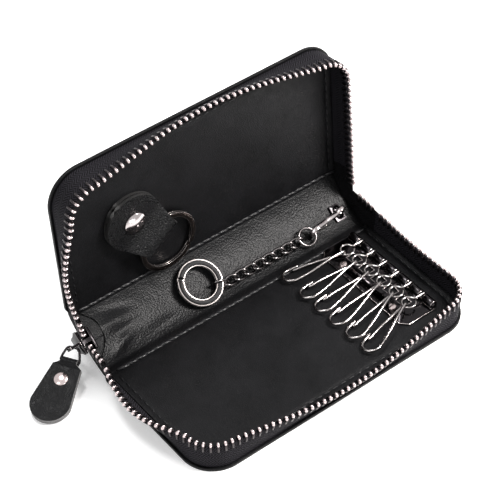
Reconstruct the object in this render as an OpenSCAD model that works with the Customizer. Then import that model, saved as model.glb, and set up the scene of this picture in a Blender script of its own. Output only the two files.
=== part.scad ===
// Zip-around key case, lying open with its upper half standing.
// The origin is the middle of the lower cover's underside, +X runs along the spine to the right,
// -Y from the spine to the front edge, and +Z up. All sizes are in millimetres.

/* [Case] */
// Length of the case along the spine
case_l = 120; // [112:1:130]
// Width of each half, from its fold to its front edge
half_w = 60; // [57:1:66]
// Radius of the two front corners of each half
corner_r = 12.7; // [9:0.1:16]
// Thickness of the closed case
closed_t = 25.1; // [24.5:0.1:27]
// Angle by which the spine leans up from the table
spine_lean = 35.5; // [30:0.5:42]
// Angle by which the upper half leans up from the spine
upper_lean = 50.1; // [46:0.1:55]

/* [Layers] */
// Thickness of the outer leather
cover_t = 1.2; // [1:0.1:1.4]
// Thickness of the stiffening board and of the zip tape beside it
board_t = 0.8; // [0.6:0.1:1]
// Thickness of the lining
lining_t = 0.8; // [0.6:0.1:1]
// Distance from the cover's edge to the outer face of the zip tape
tape_inset = 0.8; // [0.4:0.1:1.4]
// Width of the zip tape's sewn-in flange
flange_w = 4; // [3:0.5:5]
// Distance from the cover's edge to the board's edge
board_inset = 5.4; // [5.2:0.1:7]

/* [Zip] */
// Distance from one tooth to the next
tooth_pitch = 2.5; // [2.3:0.05:2.8]
// Thickness of a tooth along the zip
tooth_t = 1; // [0.9:0.05:1.1]
// Distance between the two tape edges where the zip is closed
tape_gap = 2.4; // [2.2:0.1:3]
// Angle by which the lower tape leans out at the middle of its left side
lower_left_lean = 39; // [0:1:42]
// Angle by which the lower tape leans out at the middle of its front side
lower_front_lean = 32; // [0:1:42]
// Angle by which the lower tape leans out at the middle of its right side
lower_right_lean = -3; // [-6:1:42]
// Angle by which the upper tape leans out at the middle of its left side
upper_left_lean = 27; // [0:1:42]
// Angle by which the upper tape leans out at the middle of its free edge
upper_front_lean = 38; // [0:1:42]
// Angle by which the upper tape leans out at the middle of its right side
upper_right_lean = 3; // [-6:1:42]
// Angle by which the tapes lean out where they reach the spine on the left
left_spine_lean = 16; // [0:1:25]
// Angle by which the tapes lean out where they reach the spine on the right
right_spine_lean = 4; // [0:1:25]

/* [Hook row] */
// Number of hooks
hook_count = 6; // [4:1:6]
// Distance from one hook to the next
hook_pitch = 6.73; // [6.6:0.01:6.9]
// Distance of the hook rod from the case's right end
rod_from_end = 11; // [10:0.5:12]
// Distance of the first knuckle's middle from the fold
first_knuckle_v = 6.9; // [6.5:0.1:7.5]
// Length of a knuckle along the rod
knuckle_l = 4.7; // [4.4:0.1:4.8]
// Thickness of the hook plate
plate_t = 0.8; // [0.7:0.1:0.9]
// Radius of the hook rod
rod_r = 0.8; // [0.7:0.05:0.85]
// Radius of the clip wire
clip_wire_r = 0.55; // [0.5:0.01:0.56]
// Radius of the link wire between the rod and a clip
link_wire_r = 0.45; // [0.4:0.01:0.46]
// Length of a clip's legs, from its eye to its round end
clip_leg_l = 20.5; // [19:0.5:22]
// Radius of a clip's round end, at the middle of its wire
clip_end_r = 3.4; // [3.2:0.1:3.6]

/* [Ring strap] */
// Distance of the snap from the case's left end
snap_from_end = 29; // [27:0.5:31]
// Place of the snap up the upper half, from its fold
snap_v = 29; // [28.5:0.5:30]
// Angle of the strap in the upper half's plane
strap_turn = -51.5; // [-54:0.5:-49]
// Radius of the strap's round leaves
leaf_r = 11; // [10:0.5:12]
// Width of the strap where it folds round the ring
fold_w = 15.5; // [14:0.5:16]
// Distance from the snap to the fold
fold_x = 13.5; // [13:0.1:14]
// Thickness of the strap's leather
strap_t = 1.2; // [1:0.1:1.3]
// Outer radius of the ring in the strap
fob_ring_r = 12; // [11.5:0.1:12.2]

/* [Chain] */
// Outer radius of the key ring
key_ring_r = 8.6; // [8.2:0.1:8.7]
// Inner radius of the key ring
key_ring_inner_r = 6.1; // [6:0.1:6.3]
// Distance of the key ring's middle from the case's right end, which the chain spans
key_ring_from_end = 71.2; // [70:0.1:73]
// Place of the key ring across the spine, from the lower fold
key_ring_t = 10.25; // [10.2:0.05:10.3]
// Number of links in the chain
link_count = 9; // [7:1:9]
// Distance from one link to the next
link_pitch = 4.3; // [4.2:0.05:4.4]
// Radius of the chain wire
chain_wire_r = 0.5; // [0.45:0.01:0.52]

/* [Pull] */
// Length of the leather pull tab
tab_l = 25.5; // [22:0.5:28]
// Width of the pull tab at its top
tab_top_w = 10.5; // [9:0.5:12]
// Radius of the pull tab's round end
tab_end_r = 7.2; // [6.5:0.1:8]
// Thickness of each of the pull tab's two layers
tab_t = 1.1; // [0.9:0.1:1.2]

/* [Hidden] */

// Clearances and overrun
running_gap = 0.3;
fit_gap = 0.05;
overrun = 1;

// Levels and places shared by the two halves
panel_t = cover_t + board_t + lining_t;
fold_z = panel_t / 2;
fold_y = half_w / 2;
spine_s = closed_t - 2 * fold_z;
spine_t = cover_t + lining_t;
spine_nose_r = spine_t / 2;
panel_v0 = spine_nose_r + running_gap;
wall_z = cover_t + board_t;
rim_z = (closed_t - tape_gap) / 2;
wall_l = rim_z - wall_z;
wall_v0 = 6;
wall_hx = case_l / 2 - tape_inset;
wall_hv = half_w - tape_inset;
wall_r = corner_r - tape_inset;
lining_inset = tape_inset + board_t + fit_gap;

// The spine strip's arch and its ends
spine_sag = 1.9;
spine_end_inset = 1.6;
spine_lining_inset = 2.8;
spine_end_x = case_l / 2 - spine_end_inset;
spine_lining_end_x = case_l / 2 - spine_lining_inset;
arch_steps = 16;

// A point's local axes are [along the case, away from the fold, up from the panel's underside].
module on_lower() translate([0, fold_y, 0]) mirror([0, 1, 0]) children();
module on_spine() translate([0, fold_y, fold_z]) rotate([spine_lean, 0, 0]) children();
module on_upper() on_spine() translate([0, spine_s, 0]) rotate([upper_lean, 0, 0])
    translate([0, 0, -fold_z]) children();

// Depth of the spine's arch at the distance t from the lower fold
function arch(t) = 4 * spine_sag * (t / spine_s) * (1 - t / spine_s);

// A skin over rings of points, each ring with the same number of points
function skin_faces(rings, sides, closed) = concat(
    [for (i = [0 : rings - (closed ? 1 : 2)], j = [0 : sides - 1])
        let (a = i * sides, b = ((i + 1) % rings) * sides, k = (j + 1) % sides)
        each [[a + j, b + k, a + k], [a + j, b + j, b + k]]],
    closed ? [] : [
        [for (j = [0 : sides - 1]) j],
        [for (j = [0 : sides - 1]) rings * sides - 1 - j]]);
module skin(rings, closed) {
    sides = len(rings[0]);
    polyhedron(points = [for (r = rings) each r], faces = skin_faces(len(rings), sides, closed),
        convexity = 8);
}

// A round wire along a path; the path never runs along the direction named side
function unit(v) = v / norm(v);
function tangent(path, i, closed) =
    let (n = len(path))
    closed ? unit(path[(i + 1) % n] - path[(i + n - 1) % n])
        : unit(path[min(i + 1, n - 1)] - path[max(i - 1, 0)]);
function wire_ring(p, along, side, r, sides) =
    let (a = unit(cross(along, side)), b = cross(along, a))
    [for (k = [0 : sides - 1]) p + r * (a * cos(360 * k / sides) + b * sin(360 * k / sides))];
module wire(path, r, side, closed = false, sides = 8)
    skin([for (i = [0 : len(path) - 1])
        wire_ring(path[i], tangent(path, i, closed), side, r, sides)], closed);

// The outline of a half, drawn in by an inset, from the distance v0 out to its front edge
module half_outline(inset, v0) {
    hx = case_l / 2 - inset;
    hv = half_w - inset;
    r = corner_r - inset;
    translate([-hx, v0]) square([2 * hx, hv - r - v0]);
    translate([-hx + r, hv - r]) square([2 * (hx - r), r]);
    for (side = [-1, 1]) translate([side * (hx - r), hv - r]) circle(r, $fn = 96);
}
module half_cover() linear_extrude(cover_t) half_outline(0, panel_v0);
module half_board() translate([0, 0, cover_t]) linear_extrude(board_t)
    half_outline(board_inset, panel_v0 + flange_w);
module half_lining() translate([0, 0, wall_z]) linear_extrude(lining_t)
    half_outline(lining_inset, panel_v0 + running_gap);

// The zip's route round a half: [x, v, direction of its outer side, share along the side]
side_l = wall_hv - wall_r - wall_v0;
arc_l = PI / 2 * wall_r;
front_l = 2 * (wall_hx - wall_r);
route_l = 2 * side_l + 2 * arc_l + front_l;
function route(s) =
    s <= side_l ? [-wall_hx, wall_v0 + s, 180]
    : s <= side_l + arc_l ? let (a = 180 - 90 * (s - side_l) / arc_l)
        [-wall_hx + wall_r + wall_r * cos(a), wall_hv - wall_r + wall_r * sin(a), a]
    : s <= side_l + arc_l + front_l ? [-wall_hx + wall_r + s - side_l - arc_l, wall_hv, 90]
    : s <= side_l + 2 * arc_l + front_l ? let (a = 90 - 90 * (s - side_l - arc_l - front_l) / arc_l)
        [wall_hx - wall_r + wall_r * cos(a), wall_hv - wall_r + wall_r * sin(a), a]
    : [wall_hx, wall_v0 + route_l - s, 0];
function side_lean(u, at_spine, mid) = at_spine * (1 - u) + (mid - at_spine / 2) * sin(180 * u);
function route_lean(s, leans) =
    s <= side_l ? side_lean(s / side_l, left_spine_lean, leans[0])
    : s <= side_l + arc_l ? 0
    : s <= side_l + arc_l + front_l ? leans[1] * sin(180 * (s - side_l - arc_l) / front_l)
    : s <= side_l + 2 * arc_l + front_l ? 0
    : side_lean((route_l - s) / side_l, right_spine_lean, leans[2]);
lower_leans = [lower_left_lean, lower_front_lean, lower_right_lean];
upper_leans = [upper_left_lean, upper_front_lean, upper_right_lean];

// The tape: a flange under the lining and a wall that rises from it
side_steps = 12;
corner_steps = 9;
front_steps = 18;
function steps(from, length, count) = [for (i = [0 : count - 1]) from + length * i / count];
route_stations = concat(
    steps(0, side_l, side_steps),
    steps(side_l, arc_l, corner_steps),
    steps(side_l + arc_l, front_l, front_steps),
    steps(side_l + arc_l + front_l, arc_l, corner_steps),
    steps(side_l + 2 * arc_l + front_l, side_l, side_steps),
    [route_l]);
function tape_section(lean) =
    let (foot = [-board_t / 2, wall_z], up = [sin(lean), cos(lean)], out = [cos(lean), -sin(lean)])
    [[-flange_w, cover_t], [0, cover_t], foot + out * board_t / 2,
        foot + up * wall_l + out * board_t / 2, foot + up * wall_l - out * board_t / 2,
        foot - out * board_t / 2, [-board_t - fit_gap / 2, wall_z], [-flange_w, wall_z]];
function tape_ring(s, leans) =
    let (r = route(s))
    [for (p = tape_section(route_lean(s, leans))) [r[0] + p[0] * cos(r[2]), r[1] + p[0] * sin(r[2]), p[1]]];
module zip_tape(leans) skin([for (s = route_stations) tape_ring(s, leans)], false);

// A tooth straddles the tape's edge; its own origin is on that edge
tooth_w = 2.4;
tooth_head_w = 1.7;
tooth_leg_h = 2.2;
tooth_head_h = 2.05;
tooth_shoulder_h = 0.5;
tooth_chamfer = 0.4;
tooth_slot_w = board_t + 2 * fit_gap;
module tooth() rotate([90, 0, 0]) linear_extrude(tooth_t, center = true) polygon([
    [-tooth_w / 2, -tooth_leg_h], [-tooth_w / 2, tooth_shoulder_h],
    [-tooth_head_w / 2, tooth_head_h - tooth_chamfer], [-tooth_head_w / 2 + tooth_chamfer, tooth_head_h],
    [tooth_head_w / 2 - tooth_chamfer, tooth_head_h], [tooth_head_w / 2, tooth_head_h - tooth_chamfer],
    [tooth_w / 2, tooth_shoulder_h], [tooth_w / 2, -tooth_leg_h],
    [tooth_slot_w / 2, -tooth_leg_h], [tooth_slot_w / 2, fit_gap],
    [-tooth_slot_w / 2, fit_gap], [-tooth_slot_w / 2, -tooth_leg_h]]);
tooth_count = floor((route_l - tooth_pitch / 2) / tooth_pitch);
tooth_start = (route_l - (tooth_count - 1) * tooth_pitch) / 2 - tooth_pitch / 4;
module zip_teeth(leans, shift) for (i = [0 : tooth_count - 1]) {
    s = tooth_start + shift + i * tooth_pitch;
    r = route(s);
    translate([r[0], r[1], 0]) rotate([0, 0, r[2]]) translate([-board_t / 2, 0, wall_z])
        rotate([0, route_lean(s, leans), 0]) translate([0, 0, wall_l]) tooth();
}

// Where the two rims meet at the ends of the spine, in the plane square to the case's length
rim_d = rim_z - fold_z;
meet_run = (spine_s - rim_d * (sin(spine_lean) + sin(upper_lean))
    - rim_d * (cos(upper_lean) - cos(spine_lean)) / tan(upper_lean))
    / (cos(spine_lean) + sin(spine_lean) / tan(upper_lean));
meet_t = rim_d * sin(spine_lean) + meet_run * cos(spine_lean);
meet_h = rim_d * cos(spine_lean) - meet_run * sin(spine_lean);

// The tape's end at the spine, a thin sheet from the strip's end up to the meeting rims.
// Its points are [distance across the strip, height over the folds].
end_v = wall_v0 - running_gap;
end_steps = 8;
meet_out = 1.3;
function lower_in_spine(v, z) = [
    -v * cos(spine_lean) + (z - fold_z) * sin(spine_lean),
    v * sin(spine_lean) + (z - fold_z) * cos(spine_lean)];
function upper_in_spine(v, z) = [
    spine_s + v * cos(upper_lean) - (z - fold_z) * sin(upper_lean),
    v * sin(upper_lean) + (z - fold_z) * cos(upper_lean)];
function mix(a, b, u) = a * (1 - u) + b * u;
function end_base(u) =
    let (t = spine_s * u) [t, (cover_t - spine_t) / 2 - arch(t)];
function end_station(u, lean) =
    let (
        near = u < 0.5,
        w = near ? 1 - 2 * u : 2 * u - 1,
        foot_end = near ? lower_in_spine(end_v, wall_z) : upper_in_spine(end_v, wall_z),
        top_end = near ? lower_in_spine(end_v, rim_z) : upper_in_spine(end_v, rim_z),
        base = mix(end_base(u), foot_end, pow(w, 3)),
        top = mix([meet_t, meet_h], top_end, w),
        base_x = mix(spine_end_x + board_t / 2, wall_hx - board_t / 2, w),
        top_x = wall_hx - board_t / 2 + mix(meet_out, wall_l * sin(lean), w))
    [base_x, base, top_x, top];
module zip_end(side, lean) skin([for (i = [0 : end_steps])
    let (e = end_station(i / end_steps, lean), h = board_t / 2)
    side < 0 ? [
        [-e[0] - h, e[1][0], e[1][1]], [-e[2] - h, e[3][0], e[3][1]],
        [-e[2] + h, e[3][0], e[3][1]], [-e[0] + h, e[1][0], e[1][1]]]
    : [
        [e[0] - h, e[1][0], e[1][1]], [e[2] - h, e[3][0], e[3][1]],
        [e[2] + h, e[3][0], e[3][1]], [e[0] + h, e[1][0], e[1][1]]]], false);

// The spine strip, drawn across its width: [distance from the lower fold, height over the folds]
function arch_line(h, t0, t1) = [for (i = [0 : arch_steps])
    let (t = t0 + (t1 - t0) * i / arch_steps) [t, h - arch(t)]];
function backwards(list) = [for (i = [0 : len(list) - 1]) list[len(list) - 1 - i]];
module strip(h0, h1, t0, t1) polygon(concat(arch_line(h0, t0, t1), backwards(arch_line(h1, t0, t1))));
module along_case(half_l) rotate([90, 0, 90]) linear_extrude(2 * half_l, center = true) children();

module lower_cover() color([0.09, 0.09, 0.1]) on_lower() half_cover();
module lower_board() color([0.45, 0.38, 0.3]) on_lower() difference() {
    half_board();
    rivet_bores();
}
module lower_lining() color([0.13, 0.13, 0.15]) on_lower() difference() {
    half_lining();
    rivet_bores();
}
module lower_zip_tape() color([0.1, 0.1, 0.11]) on_lower() zip_tape(lower_leans);
module lower_zip_teeth() color([0.5, 0.46, 0.47]) on_lower() zip_teeth(lower_leans, 0);
module upper_cover() color([0.09, 0.09, 0.1]) on_upper() half_cover();
module upper_board() color([0.45, 0.38, 0.3]) on_upper() half_board();
module upper_lining() color([0.13, 0.13, 0.15]) on_upper() difference() {
    half_lining();
    translate([snap_x, snap_v, 0]) cylinder(2 * panel_t, stud_bore_r, stud_bore_r, $fn = 32);
}
module upper_zip_tape() color([0.1, 0.1, 0.11]) on_upper() zip_tape(upper_leans);
module upper_zip_teeth() color([0.5, 0.46, 0.47]) on_upper() zip_teeth(upper_leans, tooth_pitch / 2);

module spine_leather() color([0.09, 0.09, 0.1]) on_spine() along_case(spine_end_x) {
    strip(-spine_t / 2, -spine_t / 2 + cover_t, 0, spine_s);
    for (t = [0, spine_s]) translate([t, 0]) circle(spine_nose_r, $fn = 48);
}
module spine_lining() color([0.16, 0.16, 0.18]) on_spine() along_case(spine_lining_end_x) difference() {
    strip(-spine_t / 2 + cover_t, spine_t / 2, 0, spine_s);
    for (t = [0, spine_s]) translate([t, 0]) circle(spine_nose_r, $fn = 48);
}
module left_zip_end() color([0.1, 0.1, 0.11]) on_spine() zip_end(-1, left_spine_lean);
module right_zip_end() color([0.1, 0.1, 0.11]) on_spine() zip_end(1, right_spine_lean);

// Teeth along the tape ends, from the spine's slider outward on both rims
end_tooth_first = 4.15;
module end_tooth_row(side, lean, top_end, turn) {
    run = norm(top_end - [meet_t, meet_h]);
    count = floor((run - end_tooth_first) / tooth_pitch) + 1;
    for (i = [0 : count - 1]) {
        w = (end_tooth_first + i * tooth_pitch) / run;
        p = mix([meet_t, meet_h], top_end, w);
        x = wall_hx - board_t / 2 + mix(meet_out, wall_l * sin(lean), w);
        translate([side * x, p[0], p[1]]) rotate([turn, 0, 0]) rotate([0, side * lean * w, 0]) tooth();
    }
}
module zip_end_teeth() color([0.5, 0.46, 0.47]) on_spine()
    for (end = [[-1, left_spine_lean], [1, right_spine_lean]]) {
        end_tooth_row(end[0], end[1], lower_in_spine(end_v, rim_z), -spine_lean);
        end_tooth_row(end[0], end[1], upper_in_spine(end_v, rim_z), upper_lean);
    }

// The hook row stands on the lower lining
rod_x = case_l / 2 - rod_from_end;
plate_z = panel_t;
link_play = 0.15;
rest_gap = 0.1;
link_loop_r = rod_r + link_play + link_wire_r;
rod_z = plate_z + link_loop_r + link_wire_r + rest_gap;
rod_stick_out = 0.5;
knuckle_r = rod_r + plate_t;
knuckle_count = hook_count + 1;
last_knuckle_v = first_knuckle_v + hook_count * hook_pitch;
plate_reach = 14.6;
plate_end = 3.2;
plate_chamfer = 2.6;
window_w = 3.6;
window_l = 4.2;
window_x = 6.2;
rivet_x = 11.4;
rivet_r = 0.8;
rivet_bore_r = rivet_r + fit_gap;
rivet_head_r = 1.6;
rivet_head_h = 0.7;
rivet_v = [first_knuckle_v + hook_pitch, last_knuckle_v - hook_pitch];
module rivet_bores() for (v = rivet_v) translate([rod_x - rivet_x, v, 0])
    cylinder(2 * panel_t, rivet_bore_r, rivet_bore_r, $fn = 32);
module plate_outline() polygon([
    [rod_x, first_knuckle_v - plate_end], [rod_x, last_knuckle_v + plate_end],
    [rod_x - plate_reach + plate_chamfer, last_knuckle_v + plate_end],
    [rod_x - plate_reach, last_knuckle_v + plate_end - plate_chamfer],
    [rod_x - plate_reach, first_knuckle_v - plate_end + plate_chamfer],
    [rod_x - plate_reach + plate_chamfer, first_knuckle_v - plate_end]]);
module knuckle() difference() {
    union() {
        translate([0, 0, rod_z]) rotate([90, 0, 0])
            cylinder(knuckle_l, knuckle_r, knuckle_r, center = true, $fn = 40);
        translate([0, -knuckle_l / 2, plate_z]) cube([knuckle_r, knuckle_l, rod_z - plate_z]);
    }
    translate([0, 0, rod_z]) rotate([90, 0, 0])
        cylinder(knuckle_l + 2 * overrun, rod_r, rod_r, center = true, $fn = 40);
}
module hook_plate() color([0.32, 0.3, 0.31]) on_lower() {
    slot_l = hook_pitch - knuckle_l;
    slot_reach = link_loop_r + 2 * link_wire_r;
    translate([0, 0, plate_z]) linear_extrude(plate_t) difference() {
        plate_outline();
        for (i = [0 : hook_count - 1])
            translate([rod_x - slot_reach, first_knuckle_v + (i + 0.5) * hook_pitch - slot_l / 2])
                square([slot_reach + overrun, slot_l]);
        for (i = [1 : hook_count - 1])
            translate([rod_x - window_x - window_w / 2, first_knuckle_v + i * hook_pitch - window_l / 2])
                square([window_w, window_l]);
        for (v = rivet_v) translate([rod_x - rivet_x, v]) circle(rivet_bore_r, $fn = 32);
    }
    for (i = [0 : knuckle_count - 1]) translate([rod_x, first_knuckle_v + i * hook_pitch, 0]) knuckle();
}
module hook_rod() color([0.36, 0.34, 0.35]) on_lower()
    translate([rod_x, (first_knuckle_v + last_knuckle_v) / 2, rod_z]) rotate([90, 0, 0])
    cylinder(last_knuckle_v - first_knuckle_v + knuckle_l + 2 * rod_stick_out, rod_r, rod_r,
        center = true, $fn = 40);
module hook_plate_rivets() color([0.36, 0.34, 0.35]) on_lower()
    for (v = rivet_v) translate([rod_x - rivet_x, v, 0]) {
        translate([0, 0, cover_t]) cylinder(plate_z + plate_t - cover_t, rivet_r, rivet_r, $fn = 32);
        translate([0, 0, plate_z + plate_t])
            cylinder(rivet_head_h, rivet_head_r, rivet_head_r - rivet_head_h / 2, $fn = 32);
    }

// A link: one wire, a small loop round the rod and a ring at its far end
link_ring_r = 2.55;
link_ring_x = 6.8;
link_far_x = link_ring_x + link_ring_r;
link_shoulder = 0.25;
link_neck = 0.9;
link_offset = 0.2;
link_gap_turn = 24;
link_step_turn = 16;
link_end_turn = 344;
clip_eye_r = 1.5;
clip_eye_roll = 60;
clip_eye_z = plate_z + plate_t + running_gap + clip_wire_r + clip_eye_r * sin(clip_eye_roll);
link_slope = atan((rod_z + link_loop_r - clip_eye_z) / link_far_x);
function link_ring_point(a) = [-link_ring_x + link_ring_r * cos(a), link_ring_r * sin(a), 0];
function link_loop_point(a) = [link_loop_r * sin(a), 0, link_loop_r * (cos(a) - 1)];
link_wire_path = concat(
    [for (a = [link_gap_turn : link_step_turn : link_end_turn]) link_ring_point(a)],
    [[link_ring_r - link_ring_x + link_shoulder, -link_offset, 0],
        [link_ring_r - link_ring_x + link_neck, 0, 0]],
    [for (a = [0 : 30 : 300]) link_loop_point(a)]);
module hook_link(i) color([0.36, 0.34, 0.35]) on_lower()
    translate([rod_x, first_knuckle_v + (i - 0.5) * hook_pitch, rod_z + link_loop_r])
    rotate([0, -link_slope, 0]) wire(link_wire_path, link_wire_r, [0.02, 0.55, 0.83], false, 6);

// A clip: one spring wire, from its gate tip round its eye and its wide end to its hook tip
clip_fan_shares = [-0.338, 0, 0.136, 0.271, 0.438, 0.569];
clip_fan_room = wall_hv - board_t - clip_end_r - clip_wire_r
    - first_knuckle_v - (hook_count - 0.5) * hook_pitch;
clip_yaws = [for (share = clip_fan_shares) asin(share * clip_fan_room / clip_leg_l)];
clip_play = 0.25;
clip_end_roll = 12;
clip_roll_l = 14;
clip_level_l = 4;
clip_shoulder = 0.6;
clip_gate_w = 2.2;
clip_gate_back = 1.5;
clip_tip_back = 4.5;
clip_reach = clip_wire_r + link_wire_r + clip_play - clip_eye_r;
clip_end_z = panel_t + running_gap + clip_wire_r + clip_end_r * sin(clip_end_roll);
function clip_roll(a) =
    clip_end_roll + (clip_eye_roll - clip_end_roll) * max(0, min(1, 1 - a / clip_roll_l));
function clip_z(a) =
    mix(clip_eye_z, clip_end_z, max(0, min(1, (a - clip_level_l) / (clip_leg_l - clip_level_l))));
function leg(from, to, n) = [for (i = [0 : n]) mix(from, to, i / n)];
clip_flat_path = concat(
    leg([clip_leg_l - clip_gate_back, -clip_gate_w], [clip_shoulder, -clip_eye_r], 7),
    [for (a = [-110 : -35 : -250]) [clip_eye_r * cos(a), clip_eye_r * sin(a)]],
    leg([clip_shoulder, clip_eye_r], [clip_leg_l - clip_shoulder, clip_end_r], 8),
    [for (a = [75 : -25 : -75]) [clip_leg_l + clip_end_r * cos(a), clip_end_r * sin(a)]],
    leg([clip_leg_l - clip_shoulder, -clip_end_r], [clip_leg_l - clip_tip_back, -clip_end_r], 2));
clip_path = [for (p = clip_flat_path)
    [-p[0], p[1] * cos(clip_roll(p[0])), clip_z(p[0]) + p[1] * sin(clip_roll(p[0]))]];
module hook_clip(i) color([0.42, 0.4, 0.41]) on_lower()
    translate([rod_x - link_far_x, first_knuckle_v + (i - 0.5) * hook_pitch, 0])
    rotate([0, 0, -clip_yaws[i - 1]]) translate([clip_reach, 0, 0])
    wire(clip_path, clip_wire_r, [0.1, 0.25, 1]);

module hook_link_1() hook_link(1);
module hook_link_2() hook_link(2);
module hook_link_3() hook_link(3);
module hook_link_4() hook_link(4);
module hook_link_5() hook_link(5);
module hook_link_6() hook_link(6);
module hook_clip_1() hook_clip(1);
module hook_clip_2() hook_clip(2);
module hook_clip_3() hook_clip(3);
module hook_clip_4() hook_clip(4);
module hook_clip_5() hook_clip(5);
module hook_clip_6() hook_clip(6);

// The strap on the upper half, drawn from the snap: +X toward the fold, +Z off the lining
snap_x = snap_from_end - case_l / 2;
fold_inner_r = 1.7;
fold_r = fold_inner_r + strap_t;
fold_axis_z = panel_t + fold_r;
flap_pivot_z = fold_axis_z + fold_inner_r + strap_t / 2;
flap_nose_r = strap_t / 2;
flap_z = panel_t + strap_t + running_gap;
flap_bend_x = 4.3;
flap_rise_x = 8.2;
flap_rise_drop = 0.75;
stud_r = 2;
stud_bore_r = stud_r + fit_gap;
cap_r = 4.2;
cap_rim_h = 0.6;
cap_dome_h = 1.3;
module on_strap() on_upper() translate([snap_x, snap_v, 0]) rotate([0, 0, strap_turn]) children();
leaf_taper_share = 0.2;
leaf_taper_w = 2 * leaf_r * sqrt(1 - leaf_taper_share * leaf_taper_share);
module leaf_outline() {
    circle(leaf_r, $fn = 96);
    polygon([[leaf_r * leaf_taper_share, -leaf_taper_w / 2], [fold_x, -fold_w / 2],
        [fold_x, fold_w / 2], [leaf_r * leaf_taper_share, leaf_taper_w / 2]]);
}
module strap_back_leaf() color([0.12, 0.12, 0.13]) on_strap() translate([0, 0, panel_t])
    linear_extrude(strap_t) difference() {
        leaf_outline();
        circle(stud_bore_r, $fn = 32);
    }
module strap_fold() color([0.12, 0.12, 0.13]) on_strap() translate([fold_x, 0, fold_axis_z])
    rotate([90, 0, 0]) linear_extrude(fold_w, center = true) difference() {
        circle(fold_r, $fn = 64);
        circle(fold_inner_r, $fn = 48);
        translate([-2 * fold_r, -2 * fold_r]) square([2 * fold_r, 4 * fold_r]);
        translate([0, flap_pivot_z - fold_axis_z]) circle(flap_nose_r + running_gap, $fn = 32);
    }
flap_under = [[-leaf_r - overrun, flap_z], [flap_bend_x, flap_z],
    [flap_rise_x, flap_pivot_z - flap_nose_r - flap_rise_drop], [fold_x, flap_pivot_z - flap_nose_r]];
module strap_flap() color([0.12, 0.12, 0.13]) on_strap() {
    intersection() {
        difference() {
            translate([0, 0, panel_t]) linear_extrude(2 * fold_r) leaf_outline();
            translate([0, 0, panel_t]) cylinder(2 * fold_r, stud_bore_r, stud_bore_r, $fn = 32);
        }
        rotate([90, 0, 0]) linear_extrude(2 * leaf_r + overrun, center = true)
            polygon(concat(flap_under, [for (p = backwards(flap_under)) p + [0, strap_t]]));
    }
    translate([fold_x, 0, flap_pivot_z]) rotate([90, 0, 0])
        cylinder(fold_w, flap_nose_r, flap_nose_r, center = true, $fn = 32);
}
module snap_stud() color([0.36, 0.34, 0.35]) on_strap() translate([0, 0, wall_z])
    cylinder(flap_z - fit_gap - wall_z, stud_r, stud_r, $fn = 32);
module snap_cap() color([0.42, 0.4, 0.41]) on_strap() translate([0, 0, flap_z]) {
    dome_r = (cap_r * cap_r + cap_dome_h * cap_dome_h) / (2 * cap_dome_h);
    cylinder(strap_t, stud_r, stud_r, $fn = 32);
    translate([0, 0, strap_t]) cylinder(cap_rim_h, cap_r, cap_r, $fn = 48);
    translate([0, 0, strap_t + cap_rim_h]) intersection() {
        translate([0, 0, cap_dome_h - dome_r]) sphere(dome_r, $fn = 64);
        cylinder(2 * cap_dome_h, cap_r, cap_r, $fn = 48);
    }
}

// A split ring of two flat turns, one on the other, joined by a step
step_turn = 6;
module split_ring(r, inner_r, turn_h, turn_gap, open_turn, start) {
    rise = turn_h + turn_gap / 2;
    for (level = [0, 1]) translate([0, 0, (level - 0.5) * rise - turn_h / 2])
        rotate([0, 0, start + (level == 0 ? open_turn : 0)])
        rotate_extrude(angle = 360 - open_turn, $fn = 96)
        translate([inner_r, 0]) square([r - inner_r, turn_h]);
    rotate([0, 0, start + open_turn + step_turn]) translate([0, 0, -rise / 2])
        rotate_extrude(angle = step_turn, $fn = 96)
        translate([inner_r + fit_gap, 0]) square([r - inner_r - 2 * fit_gap, rise]);
}
fob_ring_w = 2;
fob_turn_h = 0.68;
fob_turn_gap = 0.1;
fob_open_turn = 8;
fob_start_turn = 20;
fob_ring_x = 20.5;
fob_ring_lift = 1.3;
fob_ring_slope = 3.2;
fob_ring_z = panel_t + strap_t + fob_ring_lift;
module fob_ring() color([0.42, 0.4, 0.41]) on_strap() translate([fob_ring_x - fob_ring_r, 0, fob_ring_z])
    rotate([0, fob_ring_slope, 0]) translate([fob_ring_r, 0, 0])
    split_ring(fob_ring_r, fob_ring_r - fob_ring_w, fob_turn_h, fob_turn_gap, fob_open_turn, fob_start_turn);

// The chain set lies in the hollow of the spine strip
key_ring_x = case_l / 2 - key_ring_from_end;
chain_lift = 0.46;
chain_play = 0.15;
chain_h = spine_t / 2 + chain_lift;
key_turn_h = 0.68;
key_turn_gap = 0.1;
key_open_turn = 10;
key_start_turn = 150;
key_ring_h = spine_t / 2 + key_turn_h + key_turn_gap / 2;
key_exit_turn = -27;
link_inner_l = link_pitch + 2 * chain_play;
link_outer_w = 4.5;
link_half_l = link_inner_l / 2 + chain_wire_r;
link_half_w = link_outer_w / 2 - chain_wire_r;
link_roll = 45;
first_link_play = 0.6;
first_link_slope = 10;
last_link_roll = 80;
chain_points = 18;
link_square = 0.7;
function chain_link_path(roll0, roll1) = [for (i = [0 : chain_points - 1])
    let (a = 360 * i / chain_points, x = link_half_l * cos(a),
        w = link_half_w * sign(sin(a)) * pow(abs(sin(a)), link_square),
        roll = mix(roll0, roll1, (1 + cos(a)) / 2))
    [x, w * cos(roll), w * sin(roll)]];
exit_way = [cos(key_exit_turn), sin(key_exit_turn)];
first_link_c = [key_ring_x, key_ring_t] + (key_ring_inner_r - first_link_play + link_inner_l / 2) * exit_way;
first_link_end = first_link_c + link_pitch / 2 * exit_way;
module key_ring() color([0.42, 0.4, 0.41]) on_spine() translate([key_ring_x, key_ring_t, key_ring_h])
    split_ring(key_ring_r, key_ring_inner_r, key_turn_h, key_turn_gap, key_open_turn, key_start_turn);
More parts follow.
